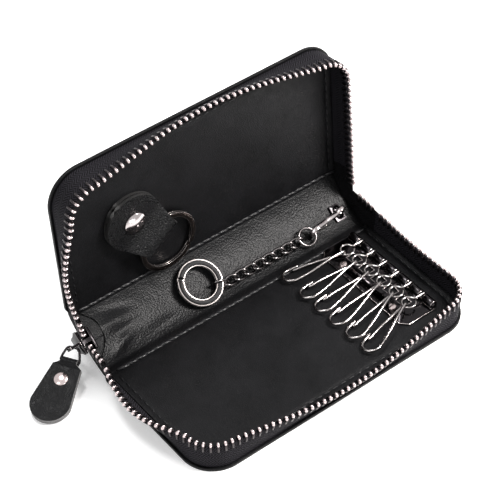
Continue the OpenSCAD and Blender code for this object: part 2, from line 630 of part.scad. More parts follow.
module first_link() translate([first_link_c[0], first_link_c[1], key_ring_h])
    rotate([0, 0, key_exit_turn]) rotate([0, first_link_slope, 0])
    wire(chain_link_path(90, link_roll), chain_wire_r, [0.05, 0.9, -0.35], true);
module next_link(i) translate([first_link_end[0] + link_pitch * (i - 1.5), first_link_end[1], chain_h])
    wire(chain_link_path(-link_roll, i == link_count ? last_link_roll : link_roll), chain_wire_r,
        [0.05, 0.1, 1], true);
module chain_link(i) color([0.38, 0.36, 0.37]) on_spine() {
    if (i == 1) first_link();
    else next_link(i);
}
module chain_link_1() chain_link(1);
module chain_link_2() chain_link(2);
module chain_link_3() chain_link(3);
module chain_link_4() chain_link(4);
module chain_link_5() chain_link(5);
module chain_link_6() chain_link(6);
module chain_link_7() chain_link(7);
module chain_link_8() chain_link(8);
module chain_link_9() chain_link(9);

// The jump ring, the clasp and the loop that holds it
jump_r = 3.3;
jump_slope = 8;
jump_play = 0.35;
last_link_end_x = first_link_end[0] + link_pitch * (link_count - 1.5) + link_inner_l / 2;
jump_x = last_link_end_x - 2 * chain_wire_r + jump_play + jump_r;
module jump_ring() color([0.42, 0.4, 0.41]) on_spine()
    translate([jump_x - jump_r, first_link_end[1], chain_h]) rotate([0, -jump_slope, 0])
    translate([jump_r, 0, 0]) rotate_extrude($fn = 48) translate([jump_r, 0]) circle(chain_wire_r, $fn = 24);

// The clasp, drawn from the middle of its hook: +X toward its eye, +Y away from its lever
clasp_t = 1.6;
clasp_r = 2.9;
clasp_hole_r = 1.75;
clasp_roll = 75;
clasp_yaw = 9;
clasp_neck_x = 5.6;
clasp_neck_w = 3.2;
clasp_stem_w = 2;
clasp_end_x = 13;
clasp_end_r = 2;
clasp_end_hole_r = 1.15;
clasp_mouth_l = 3.4;
clasp_slot_t = 0.9;
clasp_slot_back = 0.3;
clasp_slot_top = 0.15;
clasp_pin_r = 0.4;
clasp_pin_head = 0.1;
clasp_pin_at = [4, -0.75];
lever_boss_r = 0.65;
lever_nose_x = 0.3;
lever_nose_t = 0.85;
lever_root_share = 0.8;
clasp_out = 0.65;
clasp_rise = 0.4;
clasp_shift = 0.4;
clasp_x = jump_x + jump_r + clasp_out;
clasp_t0 = first_link_end[1] + clasp_shift;
clasp_h = chain_h + 2 * jump_r * sin(jump_slope) + clasp_rise;
module on_clasp() on_spine() translate([clasp_x, clasp_t0, clasp_h]) rotate([0, 0, clasp_yaw])
    rotate([clasp_roll, 0, 0]) children();
module clasp_outline() difference() {
    union() {
        circle(clasp_r, $fn = 48);
        polygon([[0, 0], [clasp_hole_r, -clasp_neck_w / 2], [clasp_neck_x, -clasp_neck_w / 2],
            [clasp_neck_x, clasp_neck_w / 2], [0, clasp_r]]);
        translate([clasp_hole_r, -clasp_stem_w / 2])
            square([clasp_end_x - clasp_end_hole_r - clasp_hole_r - fit_gap, clasp_stem_w]);
        translate([clasp_end_x, 0]) circle(clasp_end_r, $fn = 32);
    }
    circle(clasp_hole_r, $fn = 40);
    translate([clasp_end_x, 0]) circle(clasp_end_hole_r, $fn = 32);
    translate([0, -2 * clasp_r]) square([clasp_mouth_l, 2 * clasp_r - clasp_neck_w / 2]);
}
module at_clasp_pin(l, r) translate([clasp_pin_at[0], clasp_pin_at[1], 0])
    cylinder(l, r, r, center = true, $fn = 24);
module clasp_body() color([0.42, 0.4, 0.41]) on_clasp() difference() {
    linear_extrude(clasp_t, center = true) clasp_outline();
    translate([0, -2 * clasp_r, -clasp_slot_t / 2 - fit_gap])
        cube([clasp_neck_x - clasp_slot_back, 2 * clasp_r + clasp_slot_top, clasp_slot_t + 2 * fit_gap]);
    at_clasp_pin(2 * clasp_t, clasp_pin_r);
}
module clasp_lever() color([0.36, 0.34, 0.35]) on_clasp() difference() {
    linear_extrude(clasp_slot_t, center = true) {
        translate(clasp_pin_at) circle(lever_boss_r, $fn = 32);
        polygon([clasp_pin_at + [-lever_boss_r / 2, lever_boss_r / 2],
            [clasp_hole_r + lever_nose_x, clasp_pin_at[1] - lever_boss_r],
            [lever_nose_x, -clasp_hole_r - lever_nose_x],
            [2 * lever_nose_x, -clasp_hole_r - lever_nose_t], [clasp_hole_r, -clasp_hole_r - lever_nose_t],
            clasp_pin_at + [lever_boss_r / 2, -lever_boss_r * lever_root_share]]);
    }
    at_clasp_pin(2 * clasp_t, clasp_pin_r + fit_gap);
}
module clasp_pin() color([0.36, 0.34, 0.35]) on_clasp()
    at_clasp_pin(clasp_t + 2 * clasp_pin_head, clasp_pin_r);

// The loop that holds the clasp's eye stands on a small plate on the spine's lining
loop_wire_r = 0.45;
loop_r = 2.2;
loop_rise = 0.65;
loop_plate_l = 4;
loop_plate_w = 6.4;
loop_plate_t = 0.8;
loop_lift = 0.2;
loop_x = clasp_x + clasp_end_x * cos(clasp_yaw);
loop_t = clasp_t0 + clasp_end_x * sin(clasp_yaw);
loop_foot_h = spine_t / 2 - arch(loop_t) + loop_lift;
loop_lean = atan(-4 * spine_sag / spine_s * (1 - 2 * loop_t / spine_s));
module anchor_loop() color([0.36, 0.34, 0.35]) on_spine() translate([loop_x, loop_t, loop_foot_h]) {
    rotate([loop_lean, 0, 0]) translate([-loop_plate_l / 2, -loop_plate_w / 2, 0])
        cube([loop_plate_l, loop_plate_w, loop_plate_t]);
    intersection() {
        translate([0, 0, clasp_h + loop_rise - loop_r - loop_foot_h]) rotate([0, 90, 0])
            rotate_extrude($fn = 48) translate([loop_r, 0]) circle(loop_wire_r, $fn = 24);
        translate([-loop_r, -2 * loop_r, loop_plate_t / 2]) cube([2 * loop_r, 4 * loop_r, 4 * loop_r]);
    }
}

// The slider sits where the two rims meet at the spine's left end.
// Its own axes: +Z away from the strip, +Y across the strip, -X outward.
slider_x = -(wall_hx - board_t / 2 + meet_out);
channel_t = 3.3;
blade_t = 1;
blade_mouth_w = 8.8;
blade_tail_w = 6;
blade_top = 2.2;
blade_bottom = -4.7;
blade_waist_h = -1.6;
blade_shoulder_h = 0.4;
blade_corner = 0.4;
wedge_tip = [-0.3, 0.7];
wedge_left = -1.1;
wedge_right = 0.4;
module on_slider() on_spine() translate([slider_x, meet_t, meet_h]) children();
module blade_half() polygon([[0, blade_bottom], [blade_tail_w / 2, blade_bottom],
    [blade_tail_w / 2 + blade_corner, blade_waist_h], [blade_mouth_w / 2, blade_shoulder_h],
    [blade_mouth_w / 2 - blade_corner, blade_top], [0, blade_top]]);
module slider_body() color([0.42, 0.4, 0.41]) on_slider() {
    for (side = [-1, 1]) translate([side * (channel_t + blade_t) / 2, 0, 0]) rotate([90, 0, 90])
        linear_extrude(blade_t, center = true) {
            blade_half();
            mirror([1, 0]) blade_half();
        }
    rotate([90, 0, 90]) linear_extrude(channel_t + blade_t, center = true)
        polygon([wedge_tip, [wedge_left, blade_top], [wedge_right, blade_top]]);
}
bridge_reach = 3.6;
bridge_w = 0.95;
bridge_t = 0.8;
bridge_foot = 3.2;
bridge_top = 2.2;
bridge_side = 0.3;
bridge_drop = 0.9;
module slider_bridge() color([0.36, 0.34, 0.35]) on_slider()
    translate([-channel_t / 2 - blade_t, 0, -bridge_drop]) rotate([90, 0, 0])
    linear_extrude(bridge_w, center = true) polygon([
        [0, -bridge_foot], [-bridge_reach, -bridge_top], [-bridge_reach, bridge_top], [0, bridge_foot],
        [0, bridge_foot - bridge_t], [bridge_t - bridge_reach, bridge_top - bridge_side],
        [bridge_t - bridge_reach, bridge_side - bridge_top], [0, bridge_t - bridge_foot]]);

// The pull: a wire link round the bridge and a folded leather tab round the link
pull_yaw = 31.8;
pull_wire_r = 0.5;
pull_link_l = 5.6;
pull_link_w = 7.8;
pull_link_near_w = 4.4;
pull_low = 0.9;
pull_drop = 38;
tab_drop = 12.5;
pull_start_x = slider_x - channel_t / 2 - blade_t - (bridge_reach - bridge_t) / 2;
pull_world = [pull_start_x,
    fold_y + meet_t * cos(spine_lean) - (meet_h - bridge_drop - pull_low) * sin(spine_lean),
    fold_z + meet_t * sin(spine_lean) + (meet_h - bridge_drop - pull_low) * cos(spine_lean)];
module on_pull() translate(pull_world) rotate([0, 0, 180 + pull_yaw]) children();
pull_link_square = 0.45;
function squared(w) = sign(w) * pow(abs(w), pull_link_square);
pull_link_path = [for (a = [0 : 18 : 342])
    let (along = (1 + squared(cos(a))) / 2)
    [pull_link_l * along, mix(pull_link_near_w, pull_link_w, along) / 2 * squared(sin(a)), 0]];
module pull_link() color([0.3, 0.28, 0.29]) on_pull() rotate([0, pull_drop, 0])
    wire(pull_link_path, pull_wire_r, [0.02, 0.03, 1], true);
tab_loop_r = pull_wire_r + running_gap;
tab_loop_w = 5.2;
tab_top_x = 1.6;
tab_corner = 1;
tab_origin = [pull_link_l * cos(pull_drop), 0, -pull_link_l * sin(pull_drop)];
tab_rivet_x = 7;
tab_rivet_r = 1;
tab_rivet_head_r = 2.6;
tab_rivet_top_r = 1.9;
tab_rivet_head_h = 0.8;
module on_tab() on_pull() translate(tab_origin) rotate([0, tab_drop, 0]) children();
module tab_outline() {
    polygon([[tab_top_x, tab_corner - tab_top_w / 2], [tab_top_x + tab_corner, -tab_top_w / 2],
        [tab_l - tab_end_r, -tab_end_r], [tab_l - tab_end_r, tab_end_r],
        [tab_top_x + tab_corner, tab_top_w / 2], [tab_top_x, tab_top_w / 2 - tab_corner]]);
    translate([tab_l - tab_end_r, 0]) circle(tab_end_r, $fn = 64);
}
module pull_tab() color([0.12, 0.12, 0.13]) on_tab() {
    difference() {
        translate([0, 0, -tab_t]) linear_extrude(2 * tab_t) tab_outline();
        translate([tab_rivet_x, 0, 0])
            cylinder(4 * tab_t, tab_rivet_r + fit_gap, tab_rivet_r + fit_gap, center = true, $fn = 32);
    }
    rotate([90, 0, 0]) linear_extrude(tab_loop_w, center = true) difference() {
        union() {
            circle(tab_loop_r + tab_t, $fn = 40);
            translate([0, -tab_t]) square([tab_top_x + tab_corner / 2, 2 * tab_t]);
        }
        circle(tab_loop_r, $fn = 32);
    }
}
module pull_rivet() color([0.42, 0.4, 0.41]) on_tab() translate([tab_rivet_x, 0, 0]) {
    cylinder(2 * tab_t, tab_rivet_r, tab_rivet_r, center = true, $fn = 32);
    translate([0, 0, tab_t]) cylinder(tab_rivet_head_h, tab_rivet_head_r, tab_rivet_top_r, $fn = 40);
}

lower_cover();
lower_board();
lower_lining();
lower_zip_tape();
lower_zip_teeth();
hook_plate();
hook_rod();
hook_plate_rivets();
spine_leather();
spine_lining();
left_zip_end();
right_zip_end();
zip_end_teeth();
anchor_loop();
upper_cover();
upper_board();
upper_lining();
upper_zip_tape();
upper_zip_teeth();
snap_stud();
strap_back_leaf();
strap_fold();
strap_flap();
snap_cap();
fob_ring();
slider_body();
slider_bridge();
pull_link();
pull_tab();
pull_rivet();
key_ring();
jump_ring();
clasp_body();
clasp_lever();
clasp_pin();
chain_link_1();
chain_link_2();
chain_link_3();
chain_link_4();
chain_link_5();
chain_link_6();
chain_link_7();
chain_link_8();
chain_link_9();
hook_link_1();
hook_link_2();
hook_link_3();
hook_link_4();
hook_link_5();
hook_link_6();
hook_clip_1();
hook_clip_2();
hook_clip_3();
hook_clip_4();
hook_clip_5();
hook_clip_6();
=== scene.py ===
# %% [markdown]
# # A zip-around key case, dressed for its portrait
# The hard and soft parts of the case were drawn to size before this lesson starts. Here the metal
# keeps its drawn shape and gets a finish, and everything soft, such as leather, satin and zip
# tape, is made again as thin sheets that bend, wrinkle and carry stitches.

# %% Load the case and note its size
import math
import bpy
from mathutils import Matrix, Vector, noise


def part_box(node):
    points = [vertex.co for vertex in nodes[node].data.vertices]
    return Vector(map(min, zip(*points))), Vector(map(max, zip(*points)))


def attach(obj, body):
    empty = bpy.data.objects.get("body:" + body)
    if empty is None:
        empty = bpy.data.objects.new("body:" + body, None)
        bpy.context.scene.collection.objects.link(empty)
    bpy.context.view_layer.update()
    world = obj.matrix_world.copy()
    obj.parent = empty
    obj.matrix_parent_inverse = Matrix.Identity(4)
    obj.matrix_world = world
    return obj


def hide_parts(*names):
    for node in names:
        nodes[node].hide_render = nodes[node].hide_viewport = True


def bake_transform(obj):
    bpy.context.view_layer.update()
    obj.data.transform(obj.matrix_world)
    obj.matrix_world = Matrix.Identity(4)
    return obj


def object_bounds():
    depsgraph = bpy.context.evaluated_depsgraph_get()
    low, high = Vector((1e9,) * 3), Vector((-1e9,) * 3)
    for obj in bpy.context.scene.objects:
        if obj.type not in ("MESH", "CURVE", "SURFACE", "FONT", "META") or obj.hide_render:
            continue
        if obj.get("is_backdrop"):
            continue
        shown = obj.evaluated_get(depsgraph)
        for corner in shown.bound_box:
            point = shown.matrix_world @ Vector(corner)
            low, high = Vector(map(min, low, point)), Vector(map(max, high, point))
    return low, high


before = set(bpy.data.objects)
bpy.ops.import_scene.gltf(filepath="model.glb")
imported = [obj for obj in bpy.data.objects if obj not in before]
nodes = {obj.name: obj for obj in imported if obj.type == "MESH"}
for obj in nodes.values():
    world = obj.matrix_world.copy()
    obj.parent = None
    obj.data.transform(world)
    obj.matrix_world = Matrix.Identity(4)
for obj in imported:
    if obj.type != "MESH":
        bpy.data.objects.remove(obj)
box_low, box_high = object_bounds()
print("nodes", len(nodes), "size in mm", [round(1000 * side, 1) for side in box_high - box_low])

# %% [markdown]
# ## The case's own rulers
# The case opens along two folds, so it has three flat rulers: one on the lower half, one on the
# spine and one on the upper half. Each ruler is a 4x4 matrix that takes a place on that part
# (along the case, away from the fold, height) to a place in the room. All lengths are in
# millimetres, and they are turned into Blender's metres at the very end.

# %% Rulers for the two halves and the spine
MM = 0.001
CASE_L, HALF_W, CORNER_R = 120.0, 60.0, 12.7
FOLD_Y, FOLD_Z = 30.0, 1.4
SPINE_S, SPINE_SAG = 22.3, 1.9
MID_Q = SPINE_S / 2
SPINE_LEAN, UPPER_LEAN = math.radians(35.5), math.radians(50.1)
LOWER = Matrix.Translation((0, FOLD_Y, 0)) @ Matrix.Diagonal((1, -1, 1, 1))
SPINE = Matrix.Translation((0, FOLD_Y, FOLD_Z)) @ Matrix.Rotation(SPINE_LEAN, 4, "X")
UPPER = (SPINE @ Matrix.Translation((0, SPINE_S, 0)) @ Matrix.Rotation(UPPER_LEAN, 4, "X")
         @ Matrix.Translation((0, 0, -FOLD_Z)))


def arch(t):
    return 4 * SPINE_SAG * (t / SPINE_S) * (1 - t / SPINE_S)


def ease(w):
    w = min(max(w, 0.0), 1.0)
    return w * w * (3 - 2 * w)


def mix(a, b, w):
    return a * (1 - w) + b * w


print("upper half leans", round(math.degrees(SPINE_LEAN + UPPER_LEAN), 1), "degrees from the table")

# %% [markdown]
# ## One sheet that passes over both folds
# The outer leather and the satin run on from half to spine to half. A distance q is measured
# across the case from the lower fold: below 0 is the lower half, up to the spine's width is the
# spine, and beyond is the upper half. Near each fold the two neighbours' places are mixed, which
# rounds the bend in the way a thick sheet rounds it.

# %% A place on the unrolled case
FOLD_SOFT = 2.4


def unrolled(x, q, heights, soft=FOLD_SOFT):
    on_lower, on_spine, on_upper = heights
    w = ease((q + soft) / (2 * soft))
    if q < MID_Q:
        flat = LOWER @ Vector((x, -q, FOLD_Z + on_lower))
        risen = SPINE @ Vector((x, q, on_spine - arch(max(q, -soft))))
        return mix(flat, risen, w)
    w = ease((q - SPINE_S + soft) / (2 * soft))
    risen = SPINE @ Vector((x, q, on_spine - arch(min(q, SPINE_S + soft))))
    stood = UPPER @ Vector((x, q - SPINE_S, FOLD_Z + on_upper))
    return mix(risen, stood, w)


def fold_span(q):
    return [unrolled(0, q + step, (0, 0, 0)) * MM for step in (-FOLD_SOFT, FOLD_SOFT)]


LOWER_FOLD, UPPER_FOLD = fold_span(0), fold_span(SPINE_S)
print("fold line", [round(c, 2) for c in unrolled(0, 0, (0, 0, 0))])

# %% [markdown]
# ## The bench: a few tools used for every piece
# Operators act on whatever is selected: the piece that was added last, or one that is taken in
# hand. A sheet starts as a flat grid of the right size, in the way a hide is cut before it is
# shaped. Then each of its points is laid in place, and the sheet gets its thickness and edges.


# %% Take one piece, size a new one, and cut a sheet
def take(piece):
    bpy.ops.object.select_all(action="DESELECT")
    piece.select_set(True)
    bpy.context.view_layer.objects.active = piece


def sized(size):
    piece = bpy.context.object
    piece.scale = size
    bpy.ops.object.transform_apply()
    return piece


def cut_sheet(name, low, high, step):
    wide, deep = high[0] - low[0], high[1] - low[1]
    bpy.ops.mesh.primitive_grid_add(x_subdivisions=max(2, round(wide / step[0])),
                                    y_subdivisions=max(2, round(deep / step[1])), size=1)
    bpy.context.object.location = ((low[0] + high[0]) / 2, (low[1] + high[1]) / 2, 0)
    sheet = sized((wide, deep, 1))
    sheet.name = sheet.data.name = name
    return sheet


def lay(sheet, place):
    for point in sheet.data.vertices:
        point.co = place(point.co.x, point.co.y) * MM
    return sheet


# %% Give a sheet its thickness and soft edges
SHARP_EDGE = math.radians(50)


def clean_normals(piece):
    take(piece)
    bpy.ops.object.mode_set(mode="EDIT")
    bpy.ops.mesh.select_all(action="SELECT")
    bpy.ops.mesh.remove_doubles(threshold=0.004 * MM)
    bpy.ops.mesh.normals_make_consistent()
    bpy.ops.object.mode_set(mode="OBJECT")


def apply_all(piece):
    take(piece)
    for modifier in list(piece.modifiers):
        bpy.ops.object.modifier_apply(modifier=modifier.name)


def thicken(sheet, thickness, edge_round=0.3, rows=2):
    solid = sheet.modifiers.new("thickness", "SOLIDIFY")
    solid.thickness, solid.offset = thickness * MM, 0
    solid.material_offset_rim = 1
    apply_all(sheet)
    clean_normals(sheet)
    if edge_round:
        soft = sheet.modifiers.new("edge", "BEVEL")
        soft.width, soft.segments, soft.limit_method = edge_round * MM, rows, "ANGLE"
        soft.angle_limit = SHARP_EDGE
        apply_all(sheet)
    take(sheet)
    bpy.ops.object.shade_smooth_by_angle(angle=SHARP_EDGE)
    print(sheet.name, "faces", len(sheet.data.polygons))


# %% Put finishes on a piece, and wander softly
def dress(piece, *finishes):
    parts = [min(face.material_index, len(finishes) - 1) for face in piece.data.polygons]
    piece.data.materials.clear()
    for finish in finishes:
        piece.data.materials.append(finish)
    piece.data.polygons.foreach_set("material_index", parts)
    return piece


def wander(x, y, scale, seed):
    return noise.noise(Vector((x / scale + seed, y / scale - seed, seed)))


# %% [markdown]
# ## Finishes: a short recipe book
# Each finish is built of shader nodes alone. The nodes read Object coordinates, which are in
# metres from the world origin, so a scale of 1000 gives a pattern of about a millimetre. Small
# relief such as leather grain is left to a Bump node, because real geometry that fine would be
# millions of faces. A noise texture's values mostly lie between 0.3 and 0.7, so what reads one is
# spread over that stretch and not from 0 to 1.


# %% Helpers that wire up nodes
def new_finish(name, colour, roughness, metallic=0.0, gloss=0.5):
    finish = bpy.data.materials.new(name)
    finish.use_nodes = True
    shader = finish.node_tree.nodes["Principled BSDF"]
    shader.inputs["Base Color"].default_value = (*colour, 1)
    shader.inputs["Roughness"].default_value = roughness
    shader.inputs["Metallic"].default_value = metallic
    shader.inputs["Specular IOR Level"].default_value = gloss
    return finish, shader


def node(finish, kind, inputs=None, **settings):
    made = finish.node_tree.nodes.new(kind)
    for key, value in settings.items():
        setattr(made, key, value)
    for key, value in (inputs or {}).items():
        if isinstance(value, bpy.types.NodeSocket):
            finish.node_tree.links.new(value, made.inputs[key])
        else:
            made.inputs[key].default_value = value
    return made


def link(finish, output, target, socket):
    finish.node_tree.links.new(output, target.inputs[socket])


def object_place(finish):
    return node(finish, "ShaderNodeTexCoord").outputs["Object"]


def maths(finish, operation, first, second=0.0):
    return node(finish, "ShaderNodeMath", {0: first, 1: second}, operation=operation).outputs[0]


def sum_of(finish, first, second, share):
    return maths(finish, "ADD", first, maths(finish, "MULTIPLY", second, share))


# %% Helpers for patterns, colours and relief
NOISE_LOW, NOISE_HIGH = 0.3, 0.7


def noise_of(finish, place, scale, detail=3.0, rough=0.55):
    return node(finish, "ShaderNodeTexNoise",
                {"Vector": place, "Scale": scale, "Detail": detail,
                 "Roughness": rough}).outputs["Fac"]


def ramp(finish, factor, stops):
    made = node(finish, "ShaderNodeValToRGB", {"Fac": factor})
    made.color_ramp.elements[0].position = stops[0][0]
    made.color_ramp.elements[1].position = stops[-1][0]
    for position, _ in stops[1:-1]:
        made.color_ramp.elements.new(position)
    for element, (_, colour) in zip(made.color_ramp.elements, stops):
        element.color = (*colour, 1)
    return made.outputs["Color"]


def grey_of(low, high, tint=(1.0, 1.0, 1.12)):
    return [(NOISE_LOW, tuple(low * c for c in tint)), (NOISE_HIGH, tuple(high * c for c in tint))]


def vary_roughness(finish, shader, factor, low, high):
    level = node(finish, "ShaderNodeMapRange", {"Value": factor, "To Min": low, "To Max": high,
                                                "From Min": NOISE_LOW, "From Max": NOISE_HIGH})
    link(finish, level.outputs["Result"], shader, "Roughness")


def relief(finish, shader, height, depth_mm, strength=1.0, under=None):
    inputs = {"Height": height, "Distance": depth_mm * MM, "Strength": strength}
    if under is not None:
        inputs["Normal"] = under
    bump = node(finish, "ShaderNodeBump", inputs)
    link(finish, bump.outputs["Normal"], shader, "Normal")
    return bump.outputs["Normal"]


# %% [markdown]
# ### Black grained leather
# Dyed calf leather has small round pebbles with fine creases between them. A Voronoi texture's
# distance to its cell edges is close to that, and two sizes of noise keep it from looking like a
# tiling. The dye is never an even black: rubbed places are a little lighter and smoother.


# %% Leather
def leather(name, low, high, pebble_mm, depth_mm, shine, gloss):
    finish, shader = new_finish(name, (low, low, low * 1.1), shine, gloss=gloss)
    place = object_place(finish)
    soft = noise_of(finish, place, 90.0, 4.0)
    link(finish, ramp(finish, soft, grey_of(low, high)), shader, "Base Color")
    wear = noise_of(finish, place, 260.0)
    vary_roughness(finish, shader, wear, shine - 0.07, shine + 0.09)
    swirl = node(finish, "ShaderNodeTexNoise", {"Vector": place, "Scale": 700.0}).outputs["Color"]
    push = node(finish, "ShaderNodeVectorMath", {0: swirl, "Scale": 0.0006}, operation="SCALE")
    bent = node(finish, "ShaderNodeVectorMath", {0: place, 1: push.outputs[0]}, operation="ADD")
    pebbles = node(finish, "ShaderNodeTexVoronoi",
                   {"Vector": bent.outputs[0], "Scale": 1 / (pebble_mm * MM), "Randomness": 0.9},
                   feature="DISTANCE_TO_EDGE").outputs["Distance"]
    domed = node(finish, "ShaderNodeMapRange", {"Value": pebbles, "From Max": 0.3},
                 interpolation_type="SMOOTHSTEP").outputs["Result"]
    height = sum_of(finish, domed, noise_of(finish, place, 2600.0, 2.0), 0.5)
    creases = relief(finish, shader, noise_of(finish, place, 110.0, 3.0, 0.5), 0.35, 0.4)
    relief(finish, shader, height, depth_mm, 1.0, creases)
    return finish


cover_leather = leather("cover_leather", 0.0025, 0.005, 0.75, 0.045, 0.42, 0.12)
lining_leather = leather("lining_leather", 0.003, 0.006, 0.6, 0.045, 0.4, 0.1)
strap_leather = leather("strap_leather", 0.0018, 0.0045, 0.95, 0.12, 0.3, 0.19)
pull_leather = leather("pull_leather", 0.0018, 0.0045, 0.8, 0.05, 0.34, 0.09)
print("leathers made")

# %% [markdown]
# ### Cut leather edges
# Where a strap is cut, the edge shows the paler fibres of the hide under a thin coat of paint.


# %% Cut edges
def cut_edge(name, low, high):
    finish, shader = new_finish(name, (low, low, low), 0.6)
    fibres = noise_of(finish, object_place(finish), 1500.0, 4.0, 0.7)
    link(finish, ramp(finish, fibres, grey_of(low, high, (1.0, 0.98, 0.97))), shader, "Base Color")
    relief(finish, shader, fibres, 0.12)
    return finish


strap_edge = cut_edge("strap_cut_edge", 0.006, 0.02)
pull_edge = cut_edge("pull_cut_edge", 0.05, 0.16)

# %% [markdown]
# ### The satin of the spine
# The strip inside the spine is a thinner, glossier hide with a tight printed grain. Its small
# scratches of light come from grain at two thirds of a millimetre, over wide soft creases. Steep
# grain would turn every sheen into an even grey.


# %% Satin leather
def satin(name):
    finish, shader = new_finish(name, (0.005, 0.005, 0.0055), 0.34, gloss=0.13)
    place = object_place(finish)
    soft = noise_of(finish, place, 120.0)
    link(finish, ramp(finish, soft, grey_of(0.0025, 0.005)), shader, "Base Color")
    grain = node(finish, "ShaderNodeTexVoronoi",
                 {"Vector": place, "Scale": 1500.0, "Randomness": 0.9}).outputs["Distance"]
    height = sum_of(finish, grain, noise_of(finish, place, 3600.0, 2.0), 0.6)
    creases = relief(finish, shader, noise_of(finish, place, 60.0, 1.0, 0.5), 0.3, 0.3)
    relief(finish, shader, height, 0.1, 1.0, creases)
    return finish


spine_satin = satin("spine_satin")

# %% [markdown]
# ### Herringbone zip tape
# Zip tape is woven polyester. Its ribs slant one way and then the other in narrow bands that run
# along the tape, so the pattern has to follow the tape round the corners. It reads the sheet's
# own UV map: U is the way along the tape and V the way up it, both scaled to millimetres here.

# %% Zip tape
RIB_PITCH, RIB_BAND = 1.05, 1.7
RIB_DARK, RIB_TINT = (0.0012, 0.0012, 0.0014), (1, 0.92, 1.15)


def zip_cloth(name, length_mm, height_mm, lightest):
    finish, shader = new_finish(name, (0.012, 0.012, 0.014), 0.75, gloss=0.08)
    uv = node(finish, "ShaderNodeTexCoord").outputs["UV"]
    parts = node(finish, "ShaderNodeSeparateXYZ", {"Vector": uv})
    run = maths(finish, "MULTIPLY", parts.outputs["X"], length_mm)
    up = maths(finish, "MULTIPLY", parts.outputs["Y"], height_mm)
    slanted = maths(finish, "ADD", run, maths(finish, "PINGPONG", up, RIB_BAND))
    ribs = maths(finish, "SINE", maths(finish, "MULTIPLY", slanted, 2 * math.pi / RIB_PITCH))
    level = node(finish, "ShaderNodeMapRange", {"Value": ribs, "From Min": -1.0}).outputs["Result"]
    shades = [(0.1, RIB_DARK), (0.9, tuple(lightest * c for c in RIB_TINT))]
    link(finish, ramp(finish, level, shades), shader, "Base Color")
    relief(finish, shader, level, 0.16)
    return finish


# %% [markdown]
# ### Thread and board
# The seams are sewn with waxed polyester thread, a shade lighter than the leather. Two strands
# twist round each other, which a slanted wave across a stitch suggests: it raises the strands in
# the bump and paints the grooves between them darker, a painted shade. The boards in the halves
# are grey card, as fibrous as a cut edge.

# %% Thread and board
thread, thread_shader = new_finish("waxed_thread", (0.01, 0.01, 0.011), 0.4, gloss=0.3)
twist = node(thread, "ShaderNodeTexWave",
             {"Vector": object_place(thread), "Scale": 500.0, "Distortion": 1.5},
             wave_type="BANDS", bands_direction="DIAGONAL").outputs["Fac"]
# The twist's grooves get the darker colour: painted shade.
link(thread, ramp(thread, twist, grey_of(0.003, 0.012)), thread_shader, "Base Color")
relief(thread, thread_shader, twist, 0.05)
board_card = cut_edge("board_card", 0.2, 0.3)

# %% [markdown]
# ### Gunmetal
# The fittings are plated in black nickel over polished brass or steel. It is a dark mirror with a
# warm cast, slightly brushed, with faint smudges from fingers that change how sharp it reflects.


# %% Plated metal
def plated(name, colour, roughness, brush_mm=0.0025):
    finish, shader = new_finish(name, colour, roughness, 1.0)
    place = object_place(finish)
    smudge = noise_of(finish, place, 340.0, 4.0, 0.6)
    vary_roughness(finish, shader, smudge, max(0.05, roughness - 0.04), roughness + 0.06)
    tint = ramp(finish, noise_of(finish, place, 900.0),
                [(NOISE_LOW, tuple(0.82 * c for c in colour)), (NOISE_HIGH, colour)])
    link(finish, tint, shader, "Base Color")
    relief(finish, shader, noise_of(finish, place, 2400.0), brush_mm)
    return finish


gunmetal = plated("gunmetal", (0.2, 0.185, 0.183), 0.17)
hook_wire = plated("hook_wire", (0.36, 0.335, 0.33), 0.16, 0.001)
dark_plate = plated("dark_nickel", (0.03, 0.0275, 0.029), 0.16)
slider_black = plated("slider_black", (0.017, 0.0155, 0.0165), 0.2)
bright_nickel = plated("bright_nickel", (0.5, 0.455, 0.455), 0.13)
# A bright metal for bevelled edges: a painted highlight.
painted_edge_highlight = plated("painted_edge_highlight", (0.56, 0.51, 0.5), 0.2)
tooth_metal = plated("tooth_metal", (0.56, 0.48, 0.48), 0.24)
# The tooth metal made dark: painted shade for the teeth's legs.
tooth_leg_painted_shade = plated("tooth_leg_painted_shade", (0.06, 0.052, 0.054), 0.3)
rose_rivet = plated("rose_rivet", (0.6, 0.51, 0.5), 0.22, 0.0008)
print("finishes", len(bpy.data.materials))

# %% [markdown]
# ## The outer leather
# On the real case one sheet of leather covers both halves and the spine between them. A grid is
# cut to that size, its square corners are eased into arcs, and it is laid over the rulers. It is
# made in two sheets that meet in the middle of the spine, so that each bends at one fold only.

# %% Round a sheet's front corners
COVER_T, COVER_EDGE = 1.2, 0.45
COVER_STEP = (0.016, 1.0)
COVER_LEVELS = (-0.8, -0.4, -0.8)
SPINE_HALF_L = CASE_L / 2 - 1.6


def rounded(x, v, half_l, reach, radius):
    side, ax = (1 if x > 0 else -1), abs(x)
    a, b = (ax - half_l + radius) / radius, (v - reach + radius) / radius
    if a > 0 and b > 0:
        a, b = a * math.sqrt(1 - b * b / 2), b * math.sqrt(1 - a * a / 2)
        ax, v = half_l - radius + a * radius, reach - radius + b * radius
    return side * ax, v


def cover_point(share, q):
    on_lower = q < MID_Q
    v = -q if on_lower else q - SPINE_S
    half_l = mix(SPINE_HALF_L, CASE_L / 2, ease(v / 4 + 0.1))
    x, v = rounded(share * half_l, v, half_l, HALF_W, CORNER_R)
    lump = 0.05 * wander(x, v, 9.0, 3.0)
    levels = (COVER_LEVELS[0], COVER_LEVELS[1], COVER_LEVELS[2] + lump)
    return unrolled(x, -v if on_lower else v + SPINE_S, levels)


